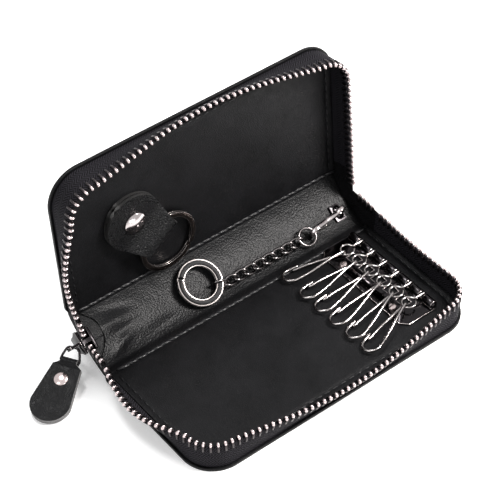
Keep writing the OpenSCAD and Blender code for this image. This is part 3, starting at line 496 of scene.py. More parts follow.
# %% Lay the two covers
lower_leather = lay(cut_sheet("lower_outer_leather", (-1, -HALF_W), (1, MID_Q), COVER_STEP),
                    cover_point)
thicken(dress(lower_leather, cover_leather), COVER_T, COVER_EDGE, 3)
upper_leather = lay(cut_sheet("upper_outer_leather", (-1, MID_Q), (1, SPINE_S + HALF_W),
                              COVER_STEP), cover_point)
thicken(dress(upper_leather, cover_leather), COVER_T, COVER_EDGE, 3)
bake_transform(lower_leather)
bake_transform(upper_leather)
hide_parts("lower_cover", "spine_leather")
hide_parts("upper_cover")

# %% [markdown]
# ## The linings
# Each half is lined with thinner leather, turned under at its edge and sewn down all round. The
# seam pulls it into a shallow channel, and between the seams it lies a little full, with a few
# slow waves. The height of every point says all of this: a wave, less a dip along the seam.

# %% Seam lines and the lining's height
LINING_T, LINING_MID, LINING_STEP = 0.8, 2.4, (0.62, 0.62)
LINING_HALF_L = LINING_REACH = 58.35
LINING_R = 11.05
LOWER_FROM, UPPER_FROM = 2.2, 0.3
SEAM_IN, SEAM_DIP, SEAM_SOFT = 2.3, 0.32, 0.75
LOWER_SEAM_V, UPPER_SEAM_V = 3.5, 1.6


def seam_distance(x, v, first_v):
    side_in = min(LINING_HALF_L - SEAM_IN - abs(x), LINING_REACH - SEAM_IN - v)
    cx, cv = abs(x) - (LINING_HALF_L - LINING_R), v - (LINING_REACH - LINING_R)
    if cx > 0 and cv > 0:
        side_in = LINING_R - SEAM_IN - math.hypot(cx, cv)
    return min(abs(side_in), abs(v - first_v))


def lining_place(half, first_v, seed):
    def place(x, v):
        x, v = rounded(x, v, LINING_HALF_L, LINING_REACH, LINING_R)
        wave = 0.11 * wander(x, v, 17.0, seed) + 0.05 * wander(x, v, 6.0, seed + 2)
        dip = -SEAM_DIP * math.exp(-(seam_distance(x, v, first_v) / SEAM_SOFT) ** 2)
        return half @ Vector((x, v, LINING_MID + wave + dip))
    return place


# %% Lay the two linings
for name, start, place, body, cad in (
        ("lower_lining_leather", LOWER_FROM, lining_place(LOWER, LOWER_SEAM_V, 5.0),
         "lower_half", "lower_lining"),
        ("upper_lining_leather", UPPER_FROM, lining_place(UPPER, UPPER_SEAM_V, 11.0),
         "upper_half", "upper_lining")):
    lining = lay(cut_sheet(name, (-LINING_HALF_L, start), (LINING_HALF_L, LINING_REACH),
                           LINING_STEP), place)
    thicken(dress(lining, lining_leather), LINING_T, 0.25)
    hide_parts(cad)
    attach(lining, body)

# %% [markdown]
# ## The satin strip inside the spine
# The strip is sewn along both folds and pushed together each time the case closes, so it carries
# soft creases across it. Its left end is cut in a hollow curve, where the zip turns the corner.
# It is laid as the outer leather was, in two sheets, and sinks under the edges of the linings.
# Each deep crease is one row of a list: its middle, turn, length, width and height.

# %% The curved ends and the creases
SATIN_T, SATIN_SOFT, SATIN_STEP = 0.7, 1.8, (0.0085, 0.5)
SATIN_FROM, SATIN_TO = -4.2, SPINE_S + 1.8
SATIN_LEVELS = (0.75, 0.6, 0.75)
LEFT_END_X, RIGHT_END_X = -57.8, 56.9
HOLLOW_DEPTH, HOLLOW_AT, HOLLOW_HALF = 6.9, 13.4, 8.0
WRINKLES = [(-47.5, 13.6, -4, 7, 2.0, -0.6), (-43.5, 9.4, 4, 8, 1.6, 0.4),
            (-47, 5.2, 24, 6, 1.7, -0.55), (-44, 17.4, -14, 6, 1.5, 0.4),
            (-30, 4.6, 6, 8, 1.6, 0.2)]


def left_end(q):
    return LEFT_END_X + HOLLOW_DEPTH * math.exp(-(abs(q - HOLLOW_AT) / HOLLOW_HALF) ** 3)


def wrinkle_height(x, q):
    total = 0.0
    for at_x, at_q, turn, length, width, height in WRINKLES:
        c, s = math.cos(math.radians(turn)), math.sin(math.radians(turn))
        run, side = (x - at_x) * c + (q - at_q) * s, (q - at_q) * c - (x - at_x) * s
        total += height * math.exp(-(run / length) ** 2 - (side / width) ** 2)
    return total


def satin_point(share, q):
    x = mix(left_end(q), RIGHT_END_X, (share + 1) / 2)
    inside = ease(q / 3) * ease((SPINE_S - q) / 3)
    slant = x + 0.7 * q
    crease = 0.14 * wander(slant, q * 0.45, 7.5, 1.0) + 0.02 * wander(slant * 1.1, q, 3.6, 7.0)
    drop = min(0.02, crease - 0.1) * (0.35 + 0.65 * inside) + inside * wrinkle_height(x, q)
    return unrolled(x, q, [level + drop for level in SATIN_LEVELS], SATIN_SOFT)


# %% Lay the satin's two sheets
satin_lower = lay(cut_sheet("satin_lower_part", (-1, SATIN_FROM), (1, MID_Q), SATIN_STEP),
                  satin_point)
satin_upper = lay(cut_sheet("satin_upper_part", (-1, MID_Q), (1, SATIN_TO), SATIN_STEP),
                  satin_point)
for strip, low, high, fold in ((satin_lower, "lower_half", "spine", LOWER_FOLD),
                               (satin_upper, "spine", "upper_half", UPPER_FOLD)):
    thicken(dress(strip, spine_satin), SATIN_T, 0)
    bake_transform(strip)
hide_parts("spine_lining")

# %% [markdown]
# ## The zip's route
# The zip runs up one side of a half, round the front corners and back, as a tape that stands on
# its edge. How far it leans out changes on the way. The same route places the tape and the teeth.

# %% Where the tape stands and how it leans
TAPE_T, WALL_Z, WALL_L, WALL_V0 = 0.8, 2.0, 9.35, 6.0
WALL_H, WALL_R = 59.2, 11.9
SIDE_L = WALL_H - WALL_R - WALL_V0
ARC_L = math.pi / 2 * WALL_R
FRONT_L = 2 * (WALL_H - WALL_R)
ROUTE_L = 2 * SIDE_L + 2 * ARC_L + FRONT_L
LOWER_LEANS, UPPER_LEANS = (39, 32, -3), (27, 38, 3)
LEAN_LEFT, LEAN_RIGHT = 16, 4


def route(s):
    if s > ROUTE_L / 2:
        x, v, turn = route(ROUTE_L - s)
        return -x, v, math.pi - turn
    if s <= SIDE_L:
        return -WALL_H, WALL_V0 + s, math.pi
    if s <= SIDE_L + ARC_L:
        turn = math.pi - (s - SIDE_L) / WALL_R
        return (-WALL_H + WALL_R * (1 + math.cos(turn)),
                WALL_H - WALL_R * (1 - math.sin(turn)), turn)
    return -WALL_H + WALL_R + s - SIDE_L - ARC_L, WALL_H, math.pi / 2


def lean_at(s, leans):
    def along_side(u, at_spine, middle):
        return at_spine * (1 - u) + (middle - at_spine / 2) * math.sin(math.pi * u)
    if s <= SIDE_L:
        return math.radians(along_side(s / SIDE_L, LEAN_LEFT, leans[0]))
    if s >= ROUTE_L - SIDE_L:
        return math.radians(along_side((ROUTE_L - s) / SIDE_L, LEAN_RIGHT, leans[2]))
    front = (s - SIDE_L - ARC_L) / FRONT_L
    return math.radians(leans[1] * math.sin(math.pi * front)) if 0 < front < 1 else 0.0


print("zip route", round(ROUTE_L, 1), "mm a half")

# %% [markdown]
# ## Zip tape
# The tape is cut flat, as long as its route and as high as the wall, and then stood up along the
# route point by point. Its own flat UV map goes with it, so the herringbone turns the corners.
# Its foot reaches a little lower, where the real tape is sewn in.

# %% Stand the tapes up
TAPE_BELOW, TAPE_STEP, TAPE_BELLY = 0.6, (0.9, 0.9), 0.25


def tape_place(half, leans):
    def place(s, up):
        x, v, turn = route(s)
        out = Vector((math.cos(turn), math.sin(turn), 0))
        lean = lean_at(s, leans) * ease((up + 0.5) / 3.0)
        foot = Vector((x, v, WALL_Z)) - out * TAPE_T / 2
        belly = TAPE_BELLY * math.sin(math.pi * min(max(up / WALL_L, 0), 1))
        rise = Vector((0, 0, math.cos(lean) * up))
        return half @ (foot + out * (math.sin(lean) * up + belly) + rise)
    return place


route_cloth = zip_cloth("zip_cloth", ROUTE_L, WALL_L + TAPE_BELOW, 0.019)
for name, half, leans, body, cad in (
        ("lower_tape_cloth", LOWER, LOWER_LEANS, "lower_half", "lower_zip_tape"),
        ("upper_tape_cloth", UPPER, UPPER_LEANS, "upper_half", "upper_zip_tape")):
    tape = lay(cut_sheet(name, (0, -TAPE_BELOW), (ROUTE_L, WALL_L), TAPE_STEP),
               tape_place(half, leans))
    thicken(dress(tape, route_cloth), TAPE_T, 0.2)
    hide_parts(cad)
    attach(tape, body)

# %% [markdown]
# ## The tape at the spine's two ends
# At each end of the spine the two tapes come together in a small gusset. It is two sheets, one
# shaped over each fold. Their feet are let into the leather, so that no slit opens there.

# %% The gusset's lower and upper line
RIM_Z, END_V, MEET_OUT = 11.35, 6.1, 1.3
RIM_D = RIM_Z - FOLD_Z
TAN_UP = math.tan(UPPER_LEAN)
MEET_RUN = ((SPINE_S - RIM_D * (math.sin(SPINE_LEAN) + math.sin(UPPER_LEAN))
             - RIM_D * (math.cos(UPPER_LEAN) - math.cos(SPINE_LEAN)) / TAN_UP)
            / (math.cos(SPINE_LEAN) + math.sin(SPINE_LEAN) / TAN_UP))
MEET = Vector((RIM_D * math.sin(SPINE_LEAN) + MEET_RUN * math.cos(SPINE_LEAN),
               RIM_D * math.cos(SPINE_LEAN) - MEET_RUN * math.sin(SPINE_LEAN)))
GUSSET_FOOT_LEVELS = (-1.1, -0.8, -1.1)


def rim_point(side, v):
    lean, q = (SPINE_LEAN, 0) if side < 0 else (UPPER_LEAN, SPINE_S)
    return Vector((q + side * (v * math.cos(lean) - RIM_D * math.sin(lean)),
                   v * math.sin(lean) + RIM_D * math.cos(lean)))


def rim_x(lean, w):
    return WALL_H - TAPE_T / 2 + mix(MEET_OUT, WALL_L * math.sin(math.radians(lean)), w)


def gusset_place(side, lean):
    def place(u, up):
        w = abs(1 - 2 * u)
        top = mix(MEET, rim_point(-1 if u < 0.5 else 1, END_V), w)
        foot_x = mix(SPINE_HALF_L + 0.1, WALL_H - TAPE_T / 2, w)
        foot = unrolled(side * foot_x, mix(-END_V, SPINE_S + END_V, u), GUSSET_FOOT_LEVELS)
        return mix(foot, SPINE @ Vector((side * rim_x(lean, w), top[0], top[1])), up)
    return place


# %% Lay the four gusset sheets
GUSSET_L, GUSSET_T = 12.0, TAPE_T * 0.8
# The tape's herringbone, made much darker: painted shade for the hollow at the spine's ends.
gusset_cloth_painted_shade = zip_cloth("gusset_cloth_painted_shade", GUSSET_L, WALL_L, 0.004)
for side, lean, label in ((-1, LEAN_LEFT, "left"), (1, LEAN_RIGHT, "right")):
    for part, u0, u1, low, high in (("lower", 0.0, 0.5, "lower_half", "spine"),
                                    ("upper", 0.5, 1.0, "spine", "upper_half")):
        place = gusset_place(side, lean)
        sheet = lay(cut_sheet(f"{label}_gusset_{part}", (u0, 0), (u1, 1), (0.5 / GUSSET_L, 0.1)),
                    place)
        thicken(dress(sheet, gusset_cloth_painted_shade), GUSSET_T, 0)
        place(u0, 0.5) * MM
        place(u1, 0.5) * MM
        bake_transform(sheet)
        if part == "lower":
            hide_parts(f"{label}_zip_end")

# %% [markdown]
# ## Zip teeth
# A cast metal tooth has a round head that locks between its neighbours and two legs that are
# pressed onto the tape. One tooth is modelled, a squashed sphere and two rounded legs, and then
# copied to every place on the route. With nearly two hundred copies it has to stay light. The
# legs get a dark copy of the metal, painted shade, but for their feet, which keep the metal's
# own colour.

# %% Model one tooth
HEAD_Z, HEAD_SIZE = 0.95, (0.98, 0.6, 1.0)
LEG_OUT, LEG_Z, LEG_SIZE, LEG_ROUND = 0.72, -0.75, (0.55, 0.8, 2.7), 0.2
LEG_FOOT_Z = -1.85
bpy.ops.mesh.primitive_uv_sphere_add(segments=12, ring_count=8, location=(0, 0, HEAD_Z))
tooth = sized(HEAD_SIZE)
dress(tooth, tooth_metal, tooth_leg_painted_shade)
legs = []
for leg_side in (-1, 1):
    bpy.ops.mesh.primitive_cube_add(size=1, location=(leg_side * LEG_OUT, 0, LEG_Z))
    leg = sized(LEG_SIZE)
    rounding = leg.modifiers.new("rounding", "BEVEL")
    rounding.width, rounding.segments = LEG_ROUND, 1
    apply_all(leg)
    dress(leg, tooth_metal, tooth_leg_painted_shade)
    # Leg faces above the foot get the painted shade, and the feet keep the tooth's metal.
    for face in leg.data.polygons:
        face.material_index = 1 if face.center.z > LEG_FOOT_Z else 0
    legs.append(leg)
take(tooth)
for leg in legs:
    leg.select_set(True)
bpy.ops.object.join()
bpy.ops.object.shade_smooth_by_angle(angle=math.radians(60))
tooth_mesh = tooth.data
print("one tooth has", len(tooth_mesh.polygons), "faces")

# %% [markdown]
# A row of teeth becomes one piece. Each copy gets a matrix whose columns are the tooth's own
# directions: out of the tape, along the zip, and up the tape.

# %% Copy the tooth along a row
TOOTH_PITCH = 2.5


def tooth_matrix(base, origin, out, up):
    out, up = (base.to_3x3() @ out).normalized(), (base.to_3x3() @ up).normalized()
    forward = up.cross(out).normalized()
    turned = Matrix((out, forward, up)).transposed().to_4x4()
    return Matrix.Translation(base @ origin) @ turned


def row_of(name, mesh, places, *finishes):
    copies = []
    for place in places:
        copy = bpy.data.objects.new(name, mesh.copy())
        copy.data.transform(place)
        copy.data.transform(Matrix.Scale(MM, 4))
        bpy.context.scene.collection.objects.link(copy)
        copies.append(copy)
    bpy.ops.object.select_all(action="DESELECT")
    for copy in copies:
        copy.select_set(True)
    bpy.context.view_layer.objects.active = copies[0]
    bpy.ops.object.join()
    row = bpy.context.object
    row.name = row.data.name = name
    print(name, len(places), "copies")
    return dress(row, *finishes)


def route_teeth(half, leans, shift):
    count = math.floor((ROUTE_L - TOOTH_PITCH / 2) / TOOTH_PITCH)
    first = (ROUTE_L - (count - 1) * TOOTH_PITCH) / 2 - TOOTH_PITCH / 4
    places = []
    for i in range(count):
        s = first + shift + i * TOOTH_PITCH
        x, v, turn = route(s)
        lean = lean_at(s, leans)
        flat, rise = Vector((math.cos(turn), math.sin(turn), 0)), Vector((0, 0, 1))
        up = rise * math.cos(lean) + flat * math.sin(lean)
        out = flat * math.cos(lean) - rise * math.sin(lean)
        origin = Vector((x, v, WALL_Z)) - flat * TAPE_T / 2 + up * WALL_L
        places.append(tooth_matrix(half, origin, out, up))
    return places


# %% Both rows
for name, half, leans, shift, body, cad in (
        ("lower_teeth", LOWER, LOWER_LEANS, 0.0, "lower_half", "lower_zip_teeth"),
        ("upper_teeth", UPPER, UPPER_LEANS, TOOTH_PITCH / 2, "upper_half", "upper_zip_teeth")):
    row = row_of(name, tooth_mesh, route_teeth(half, leans, shift), tooth_metal, tooth_leg_painted_shade)
    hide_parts(cad)
    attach(row, body)

# %% [markdown]
# At the spine's ends the teeth run from the place where the two tapes meet to the start of each
# row, and they follow the line and lean of the gussets they sit on.

# %% The teeth at the spine's ends
END_TOOTH_FIRST, END_TOOTH_V = 4.15, 5.7


def end_teeth_places(far, turn):
    run, places = (far - MEET).length, []
    for side, lean in ((-1, LEAN_LEFT), (1, LEAN_RIGHT)):
        for i in range(math.floor((run - END_TOOTH_FIRST) / TOOTH_PITCH) + 1):
            w = (END_TOOTH_FIRST + i * TOOTH_PITCH) / run
            at = mix(MEET, far, w)
            local = (Matrix.Rotation(turn, 4, "X")
                     @ Matrix.Rotation(side * math.radians(lean) * w, 4, "Y"))
            place = Matrix.Translation((side * rim_x(lean, w), at[0], at[1]))
            places.append(SPINE @ place @ local)
    return places


left_gusset = gusset_place(-1, LEAN_LEFT)
for name, far, turn, u0, u1, low, high in (
        ("end_teeth_lower", rim_point(-1, END_TOOTH_V), -SPINE_LEAN, 0.0, 0.5, "lower_half",
         "spine"),
        ("end_teeth_upper", rim_point(1, END_TOOTH_V), UPPER_LEAN, 0.5, 1.0, "spine",
         "upper_half")):
    row = row_of(name, tooth_mesh, end_teeth_places(far, turn), tooth_metal, tooth_leg_painted_shade)
    left_gusset(u0, 0.5) * MM
    left_gusset(u1, 0.5) * MM
    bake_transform(row)
    if low == "lower_half":
        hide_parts("zip_end_teeth")
bpy.data.objects.remove(tooth)

# %% [markdown]
# ## Stitches
# A saddle stitch shows as a short strand that dives into the leather at both ends. One strand is
# a sphere drawn out to a grain of rice. It is copied along each seam, a little over 3.5 mm apart,
# and pressed into the channel that the lining already has. Along the folds longer strands overlap
# like the lay of a cord.


# %% Model the strands
def grain_of_thread(length, radius):
    bpy.ops.mesh.primitive_uv_sphere_add(segments=8, ring_count=8, rotation=(0, math.pi / 2, 0))
    strand = sized((radius, radius, length / 2))
    bpy.ops.object.shade_smooth()
    return strand


stitch, fold_strand = grain_of_thread(2.4, 0.26), grain_of_thread(5.2, 0.68)
print("one stitch is", round(stitch.dimensions.x, 2), "mm long")


# %% Seam routes
def rim_seam(start_v):
    r = LINING_R - SEAM_IN
    h = LINING_HALF_L - SEAM_IN
    line = [(-h, start_v), (-h, h - r)]
    line += [(-h + r - r * math.cos(a), h - r + r * math.sin(a)) for a in
             [math.pi / 2 * k / 10 for k in range(1, 11)]]
    return line + [(-x, v) for x, v in reversed(line)]


def along(line, pitch):
    places, left = [], pitch / 2
    for (x0, y0), (x1, y1) in zip(line, line[1:]):
        length = math.hypot(x1 - x0, y1 - y0)
        at = left
        while at < length:
            places.append((mix(x0, x1, at / length), mix(y0, y1, at / length),
                           math.atan2(y1 - y0, x1 - x0)))
            at += pitch
        left = at - length
    return places


# %% Sew the four seams
STITCH_PITCH, RIM_SEAM_Z, FOLD_SEAM_Z = 3.55, 2.58, 2.66
RIM_SLANT, FOLD_SLANT = 0.06, 0.15


def seam(name, half, strand, line, level, slant, body):
    places = [half @ Matrix.Translation((x, v, level)) @ Matrix.Rotation(turn + slant, 4, "Z")
              for x, v, turn in along(line, STITCH_PITCH)]
    row = row_of(name, strand.data, places, thread)
    clean_normals(row)
    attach(row, body)


seam("lower_rim_stitches", LOWER, stitch, rim_seam(5.6), RIM_SEAM_Z, RIM_SLANT, "lower_half")
seam("upper_rim_stitches", UPPER, stitch, rim_seam(4.0), RIM_SEAM_Z, RIM_SLANT, "upper_half")
seam("lower_fold_stitches", LOWER, fold_strand, [(-54.5, LOWER_SEAM_V), (54.5, LOWER_SEAM_V)],
     FOLD_SEAM_Z, FOLD_SLANT, "lower_half")
seam("upper_fold_stitches", UPPER, fold_strand, [(-55.5, UPPER_SEAM_V), (56.5, UPPER_SEAM_V)],
     FOLD_SEAM_Z, -FOLD_SLANT, "upper_half")
bpy.data.objects.remove(stitch)
bpy.data.objects.remove(fold_strand)

# %% [markdown]
# ## The ring strap
# One strap of firm leather holds the large ring: its back leaf is sewn to the lining, it turns
# over the ring in a loop, and its front leaf snaps down. A side view of the strap gives the line
# of its middle, and its outline gives how wide it is at each place on that line. Both leaves run
# from the round end (p = 0) past the neck to the fold (p = 1).

# %% The strap's side view and outline
STRAP = UPPER @ Matrix.Translation((-31, 29, 0)) @ Matrix.Rotation(math.radians(-51.5), 4, "Z")
STRAP_LAYER, LEAF_R = 1.128, 11.0
NECK_X, NECK_HALF_W, NECK_TURN = 2.2, 10.78, math.radians(101.5)
FOLD_X, FOLD_HALF_W, FOLD_R = 13.5, 7.75, 2.3
BACK_Z, FRONT_Z, RISE_X, RISE_L = 3.4, 4.9, 3.2, 11.1
LOOP_Z = BACK_Z + FOLD_R
NECK_P, FOLD_P = 0.6, 0.88


def leaf_half_width(x):
    if x < NECK_X:
        return math.sqrt(max(LEAF_R ** 2 - x * x, 0.0))
    return mix(NECK_HALF_W, FOLD_HALF_W, (x - NECK_X) / (FOLD_X - NECK_X))


def strap_line(p, side):
    if p < NECK_P:
        x = -LEAF_R * math.cos(p / NECK_P * NECK_TURN)
    elif p < FOLD_P:
        x = mix(NECK_X, FOLD_X, (p - NECK_P) / (FOLD_P - NECK_P))
    else:
        turn = (p - FOLD_P) / (1 - FOLD_P) * math.pi / 2
        return (FOLD_X + FOLD_R * math.sin(turn), LOOP_Z + side * FOLD_R * math.cos(turn),
                FOLD_HALF_W)
    if side < 0:
        return x, BACK_Z, leaf_half_width(x)
    rise = ease((x - RISE_X) / RISE_L) * (LOOP_Z + FOLD_R - FRONT_Z)
    return x, FRONT_Z + rise, leaf_half_width(x)


def strap_place(side):
    def place(p, share):
        x, z, half = strap_line(p, side)
        cup = 0.14 * (share ** 2) * ease((4 - x) / 8)
        lump = 0.07 * wander(x, share * half, 4.0, 4.0)
        return STRAP @ Vector((x, share * half, z + cup + lump))
    return place


# %% Lay the strap's two leaves
STRAP_STEP = (1 / 44, 2 / 28)
strap_front = lay(cut_sheet("strap_front_leaf", (0, -1), (1, 1), STRAP_STEP), strap_place(1))
strap_back = lay(cut_sheet("strap_back_part", (0, -1), (1, 1), STRAP_STEP), strap_place(-1))
for leaf in (strap_front, strap_back):
    thicken(dress(leaf, strap_leather, strap_edge), STRAP_LAYER, 0.3, 3)
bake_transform(strap_front)
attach(strap_back, "upper_half")
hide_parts("strap_flap")
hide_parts("strap_back_leaf", "strap_fold")

# %% [markdown]
# ## The pull tab
# The slider's pull is one strip of leather folded round a wire link, with its two layers riveted
# together and cut to a rounded paddle. The cut edges are left pale. The strip's middle line runs
# down one face, round the link and back up the other, and p is 0 at the link.

# %% The tab's own ruler and outline
PULL_LEAN, PULL_TURN, LINK_L = math.radians(38), math.radians(180 + 31.8), 5.6
PULL_X, PULL_DROP = -64.15, 1.8
PULL_AT = SPINE @ Vector((PULL_X, MEET[0], MEET[1] - PULL_DROP))
TAB = (Matrix.Translation(PULL_AT) @ Matrix.Rotation(PULL_TURN, 4, "Z")
       @ Matrix.Translation((LINK_L * math.cos(PULL_LEAN), 0, -LINK_L * math.sin(PULL_LEAN)))
       @ Matrix.Rotation(math.radians(12.5), 4, "Y"))
TAB_L, TAB_END_R, TAB_LAYER, TAB_LOOP = 23.6, 7.2, 1.1, 1.35
TAB_TOP_HALF_W, SHOULDER_HALF_W, SHOULDER_X = 2.95, 5.25, 2.4
PINCH_X = 1.8
LOOP_P, PINCH_P, END_P = 0.1, 0.16, 0.66


def tab_half_width(x):
    if x < SHOULDER_X:
        return mix(TAB_TOP_HALF_W, SHOULDER_HALF_W, ease((x - 0.3) / 1.6))
    if x < TAB_L - TAB_END_R:
        return mix(SHOULDER_HALF_W, TAB_END_R, (x - SHOULDER_X) / (TAB_L - TAB_END_R - SHOULDER_X))
    return math.sqrt(max(TAB_END_R ** 2 - (x - TAB_L + TAB_END_R) ** 2, 0.0))


def tab_point(p, share):
    face, p = (1 if p > 0 else -1), abs(p)
    z = face * TAB_LAYER / 2
    if p < LOOP_P:
        turn = math.pi * (1 - p / LOOP_P * 0.5)
        x, z = TAB_LOOP * math.cos(turn), face * TAB_LOOP * math.sin(turn)
    elif p < PINCH_P:
        w = ease((p - LOOP_P) / (PINCH_P - LOOP_P))
        x, z = PINCH_X * w, face * mix(TAB_LOOP, TAB_LAYER / 2, w)
    elif p < END_P:
        x = mix(PINCH_X, TAB_L - TAB_END_R, (p - PINCH_P) / (END_P - PINCH_P))
    else:
        x = TAB_L - TAB_END_R + TAB_END_R * math.sin((p - END_P) / (1 - END_P) * math.pi / 2)
    half = tab_half_width(x)
    lump = 0.05 * wander(x, share * half, 5.0, 6.0 + face)
    return TAB @ Vector((x, share * half, z + lump))


# %% Lay the tab
tab = lay(cut_sheet("pull_tab_strip", (-1, -1), (1, 1), (2 / 120, 2 / 24)), tab_point)
thicken(dress(tab, pull_leather, pull_edge), TAB_LAYER * 0.92, 0.25, 3)
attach(tab, "pull_tab")
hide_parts("pull_tab")

# %% [markdown]
# The rivet's head is a sphere that is bisected a little above its middle and squashed to a low
# dome.

# %% Give the tab a domed rivet
DOME_R, DOME_CUT, DOME_SQUASH = 2.6, 0.35, 0.42
DOME_AT = (7.0, 0, TAB_LAYER - 0.12)
bpy.ops.mesh.primitive_uv_sphere_add(segments=40, ring_count=20, radius=DOME_R)
dome = bpy.context.object
dome.name = dome.data.name = "pull_rivet_dome"
bpy.ops.object.mode_set(mode="EDIT")
bpy.ops.mesh.select_all(action="SELECT")
bpy.ops.mesh.bisect(plane_co=(0, 0, DOME_CUT), plane_no=(0, 0, 1), clear_inner=True, use_fill=True)
bpy.ops.object.mode_set(mode="OBJECT")
dome.data.transform(Matrix.Diagonal((1, 1, DOME_SQUASH, 1)))
dome.data.transform(Matrix.Scale(MM, 4) @ TAB @ Matrix.Translation(DOME_AT))
take(dome)
bpy.ops.object.shade_smooth_by_angle(angle=SHARP_EDGE)
dress(dome, rose_rivet)
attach(dome, "pull_tab")
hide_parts("pull_rivet")

# %% [markdown]
# ### Rings with painted highlights on their rims
# A flat ring's rims catch the light as thin bright lines, and its face between them mirrors the
# dark round it. The finish measures how far each place is from the ring's centre, and a colour
# ramp paints the rims bright and metallic as painted highlights. The key ring's face is a
# near-black non-metal, painted dark in place of what it would mirror.

# %% Ring finish
# Colour of the highlights painted on the rims.
RIM_PAINTED_HIGHLIGHT = (0.34, 0.31, 0.3)


def painted_rim_highlights(name, ring, inner_mm, outer_mm, rim_mm, face, face_metallic, roughness):
    low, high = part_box(ring)
    finish, shader = new_finish(name, face, roughness, gloss=0.04)
    away = node(finish, "ShaderNodeVectorMath", {0: object_place(finish), 1: (low + high) / 2},
                operation="DISTANCE").outputs["Value"]
    share = node(finish, "ShaderNodeMapRange", {"Value": away, "From Min": inner_mm * MM,
                                                "From Max": outer_mm * MM}).outputs["Result"]
    end = rim_mm / (outer_mm - inner_mm)
    start = 0.75 * end
    # Painted highlight at both rims, the face colour between them.
    for socket, bright, dark in (("Base Color", RIM_PAINTED_HIGHLIGHT, face),
                                 ("Metallic", (1, 1, 1), (face_metallic,) * 3)):
        painted = ramp(finish, share,
                       [(start, bright), (end, dark), (1 - end, dark), (1 - start, bright)])
        link(finish, painted, shader, socket)
    return finish


# Key ring: painted rim highlights on a face painted dark for what it mirrors. Fob ring: painted rim
# highlights on brown metal.
key_ring_metal = painted_rim_highlights("key_ring_metal", "key_ring", 6.1, 8.6, 0.42, (0.004, 0.004, 0.0045),
                        0, 0.3)
fob_ring_metal = painted_rim_highlights("fob_ring_metal", "fob_ring", 10.0, 12.0, 0.28, (0.1, 0.082, 0.075), 1, 0.2)

# %% [markdown]
# ## Metal fittings
# The fittings keep their drawn shapes. Their meshes come as loose triangles, so a Weld modifier
# joins them before anything else. Wires, which have no edge, then get a Subdivision Surface that
# makes an eight-sided wire round. Stamped or cast pieces get a fine Bevel, because no real metal
# edge is perfectly sharp and it is the bevel that catches the light. The bevel has a finish of its
# own. On the darker pieces it is a brighter metal than the face, a painted highlight on the edge.


# %% Finish the metal nodes
def finish_metal(name, finish, slot_name, edge=None, edge_finish=None):
    piece = nodes[name]
    dress(piece, finish, edge_finish or finish)
    for face in piece.data.polygons:
        face.use_smooth = True
    weld = piece.modifiers.new("weld", "WELD")
    weld.merge_threshold = 0.002 * MM
    if edge is None:
        rounder = piece.modifiers.new("round", "SUBSURF")
        rounder.levels = rounder.render_levels = 1
    else:
        bevel = piece.modifiers.new("edge", "BEVEL")
        bevel.width, bevel.segments, bevel.limit_method = edge * MM, 2, "ANGLE"
        bevel.angle_limit, bevel.material = math.radians(35), 1
        bevel.harden_normals = slot_name != "ring_metal"
        bevel.use_clamp_overlap = name != "hook_plate"


for number in range(1, 7):
    finish_metal(f"hook_link_{number}", hook_wire, "hook_metal")
    finish_metal(f"hook_clip_{number}", hook_wire, "hook_metal")
for number in range(1, 10):
    finish_metal(f"chain_link_{number}", gunmetal, "chain_metal")
finish_metal("pull_link", dark_plate, "slider_metal")
# The second finish goes on the bevels. Where it is brighter than the first, it is a painted edge
# highlight.
for name, finish, edge_finish, slot_name, edge in (
        ("hook_plate", dark_plate, painted_edge_highlight, "hook_plate_metal", 0.17),
        ("hook_rod", dark_plate, gunmetal, "hook_metal", 0.08),
        ("hook_plate_rivets", rose_rivet, rose_rivet, "hook_plate_metal", 0.15),
        ("key_ring", key_ring_metal, key_ring_metal, "ring_metal", 0.16),
        ("fob_ring", fob_ring_metal, fob_ring_metal, "ring_metal", 0.1),
        ("jump_ring", gunmetal, gunmetal, "chain_metal", 0.05),
        ("anchor_loop", dark_plate, gunmetal, "chain_metal", 0.12),
        ("clasp_body", bright_nickel, painted_edge_highlight, "chain_metal", 0.15),
        ("clasp_lever", gunmetal, painted_edge_highlight, "chain_metal", 0.1),
        ("clasp_pin", gunmetal, gunmetal, "chain_metal", 0.05),
        ("snap_stud", gunmetal, gunmetal, "snap_metal", 0.1),
        ("snap_cap", bright_nickel, bright_nickel, "snap_metal", 0.12),
        ("slider_body", slider_black, gunmetal, "slider_metal", 0.1),
        ("slider_bridge", slider_black, painted_edge_highlight, "slider_metal", 0.1)):
    finish_metal(name, finish, slot_name, edge=edge, edge_finish=edge_finish)
for name in ("lower_board", "upper_board"):
    dress(nodes[name], board_card)
print("metal nodes finished")

# %% [markdown]
# ## Camera
# The portrait looks down from the front left, with a long lens, as product pictures do. The
# camera stands on a line from the middle of the case, and the picture is shifted a little so that
# the case sits where it should. Lens and shift were measured on a picture 500 points wide.

# %% Camera
PIVOT = Vector((0, 10, 15)) * MM
AZIMUTH, ELEVATION, DISTANCE = math.radians(-38.6), math.radians(46.56), 655.86 * MM
PICTURE, LENS_POINTS, MIDDLE_X, MIDDLE_Y = 500, 1891.68, 273.01, 300.35
SENSOR_MM = 36
back = Vector((math.sin(AZIMUTH) * math.cos(ELEVATION), -math.cos(AZIMUTH) * math.cos(ELEVATION),
               math.sin(ELEVATION)))
camera = bpy.data.objects.new("portrait_camera", bpy.data.cameras.new("portrait_camera"))
bpy.context.scene.collection.objects.link(camera)
camera.location = PIVOT + back * DISTANCE
camera.rotation_euler = (-back).to_track_quat("-Z", "Y").to_euler()
camera.data.sensor_width, camera.data.lens = SENSOR_MM, LENS_POINTS / PICTURE * SENSOR_MM
camera.data.shift_x = -(MIDDLE_X - PICTURE / 2) / PICTURE
camera.data.shift_y = (MIDDLE_Y - PICTURE / 2) / PICTURE
camera.data.clip_start, camera.data.clip_end = 0.05, 20
bpy.context.scene.camera = camera
print("lens", round(camera.data.lens, 1), "mm")

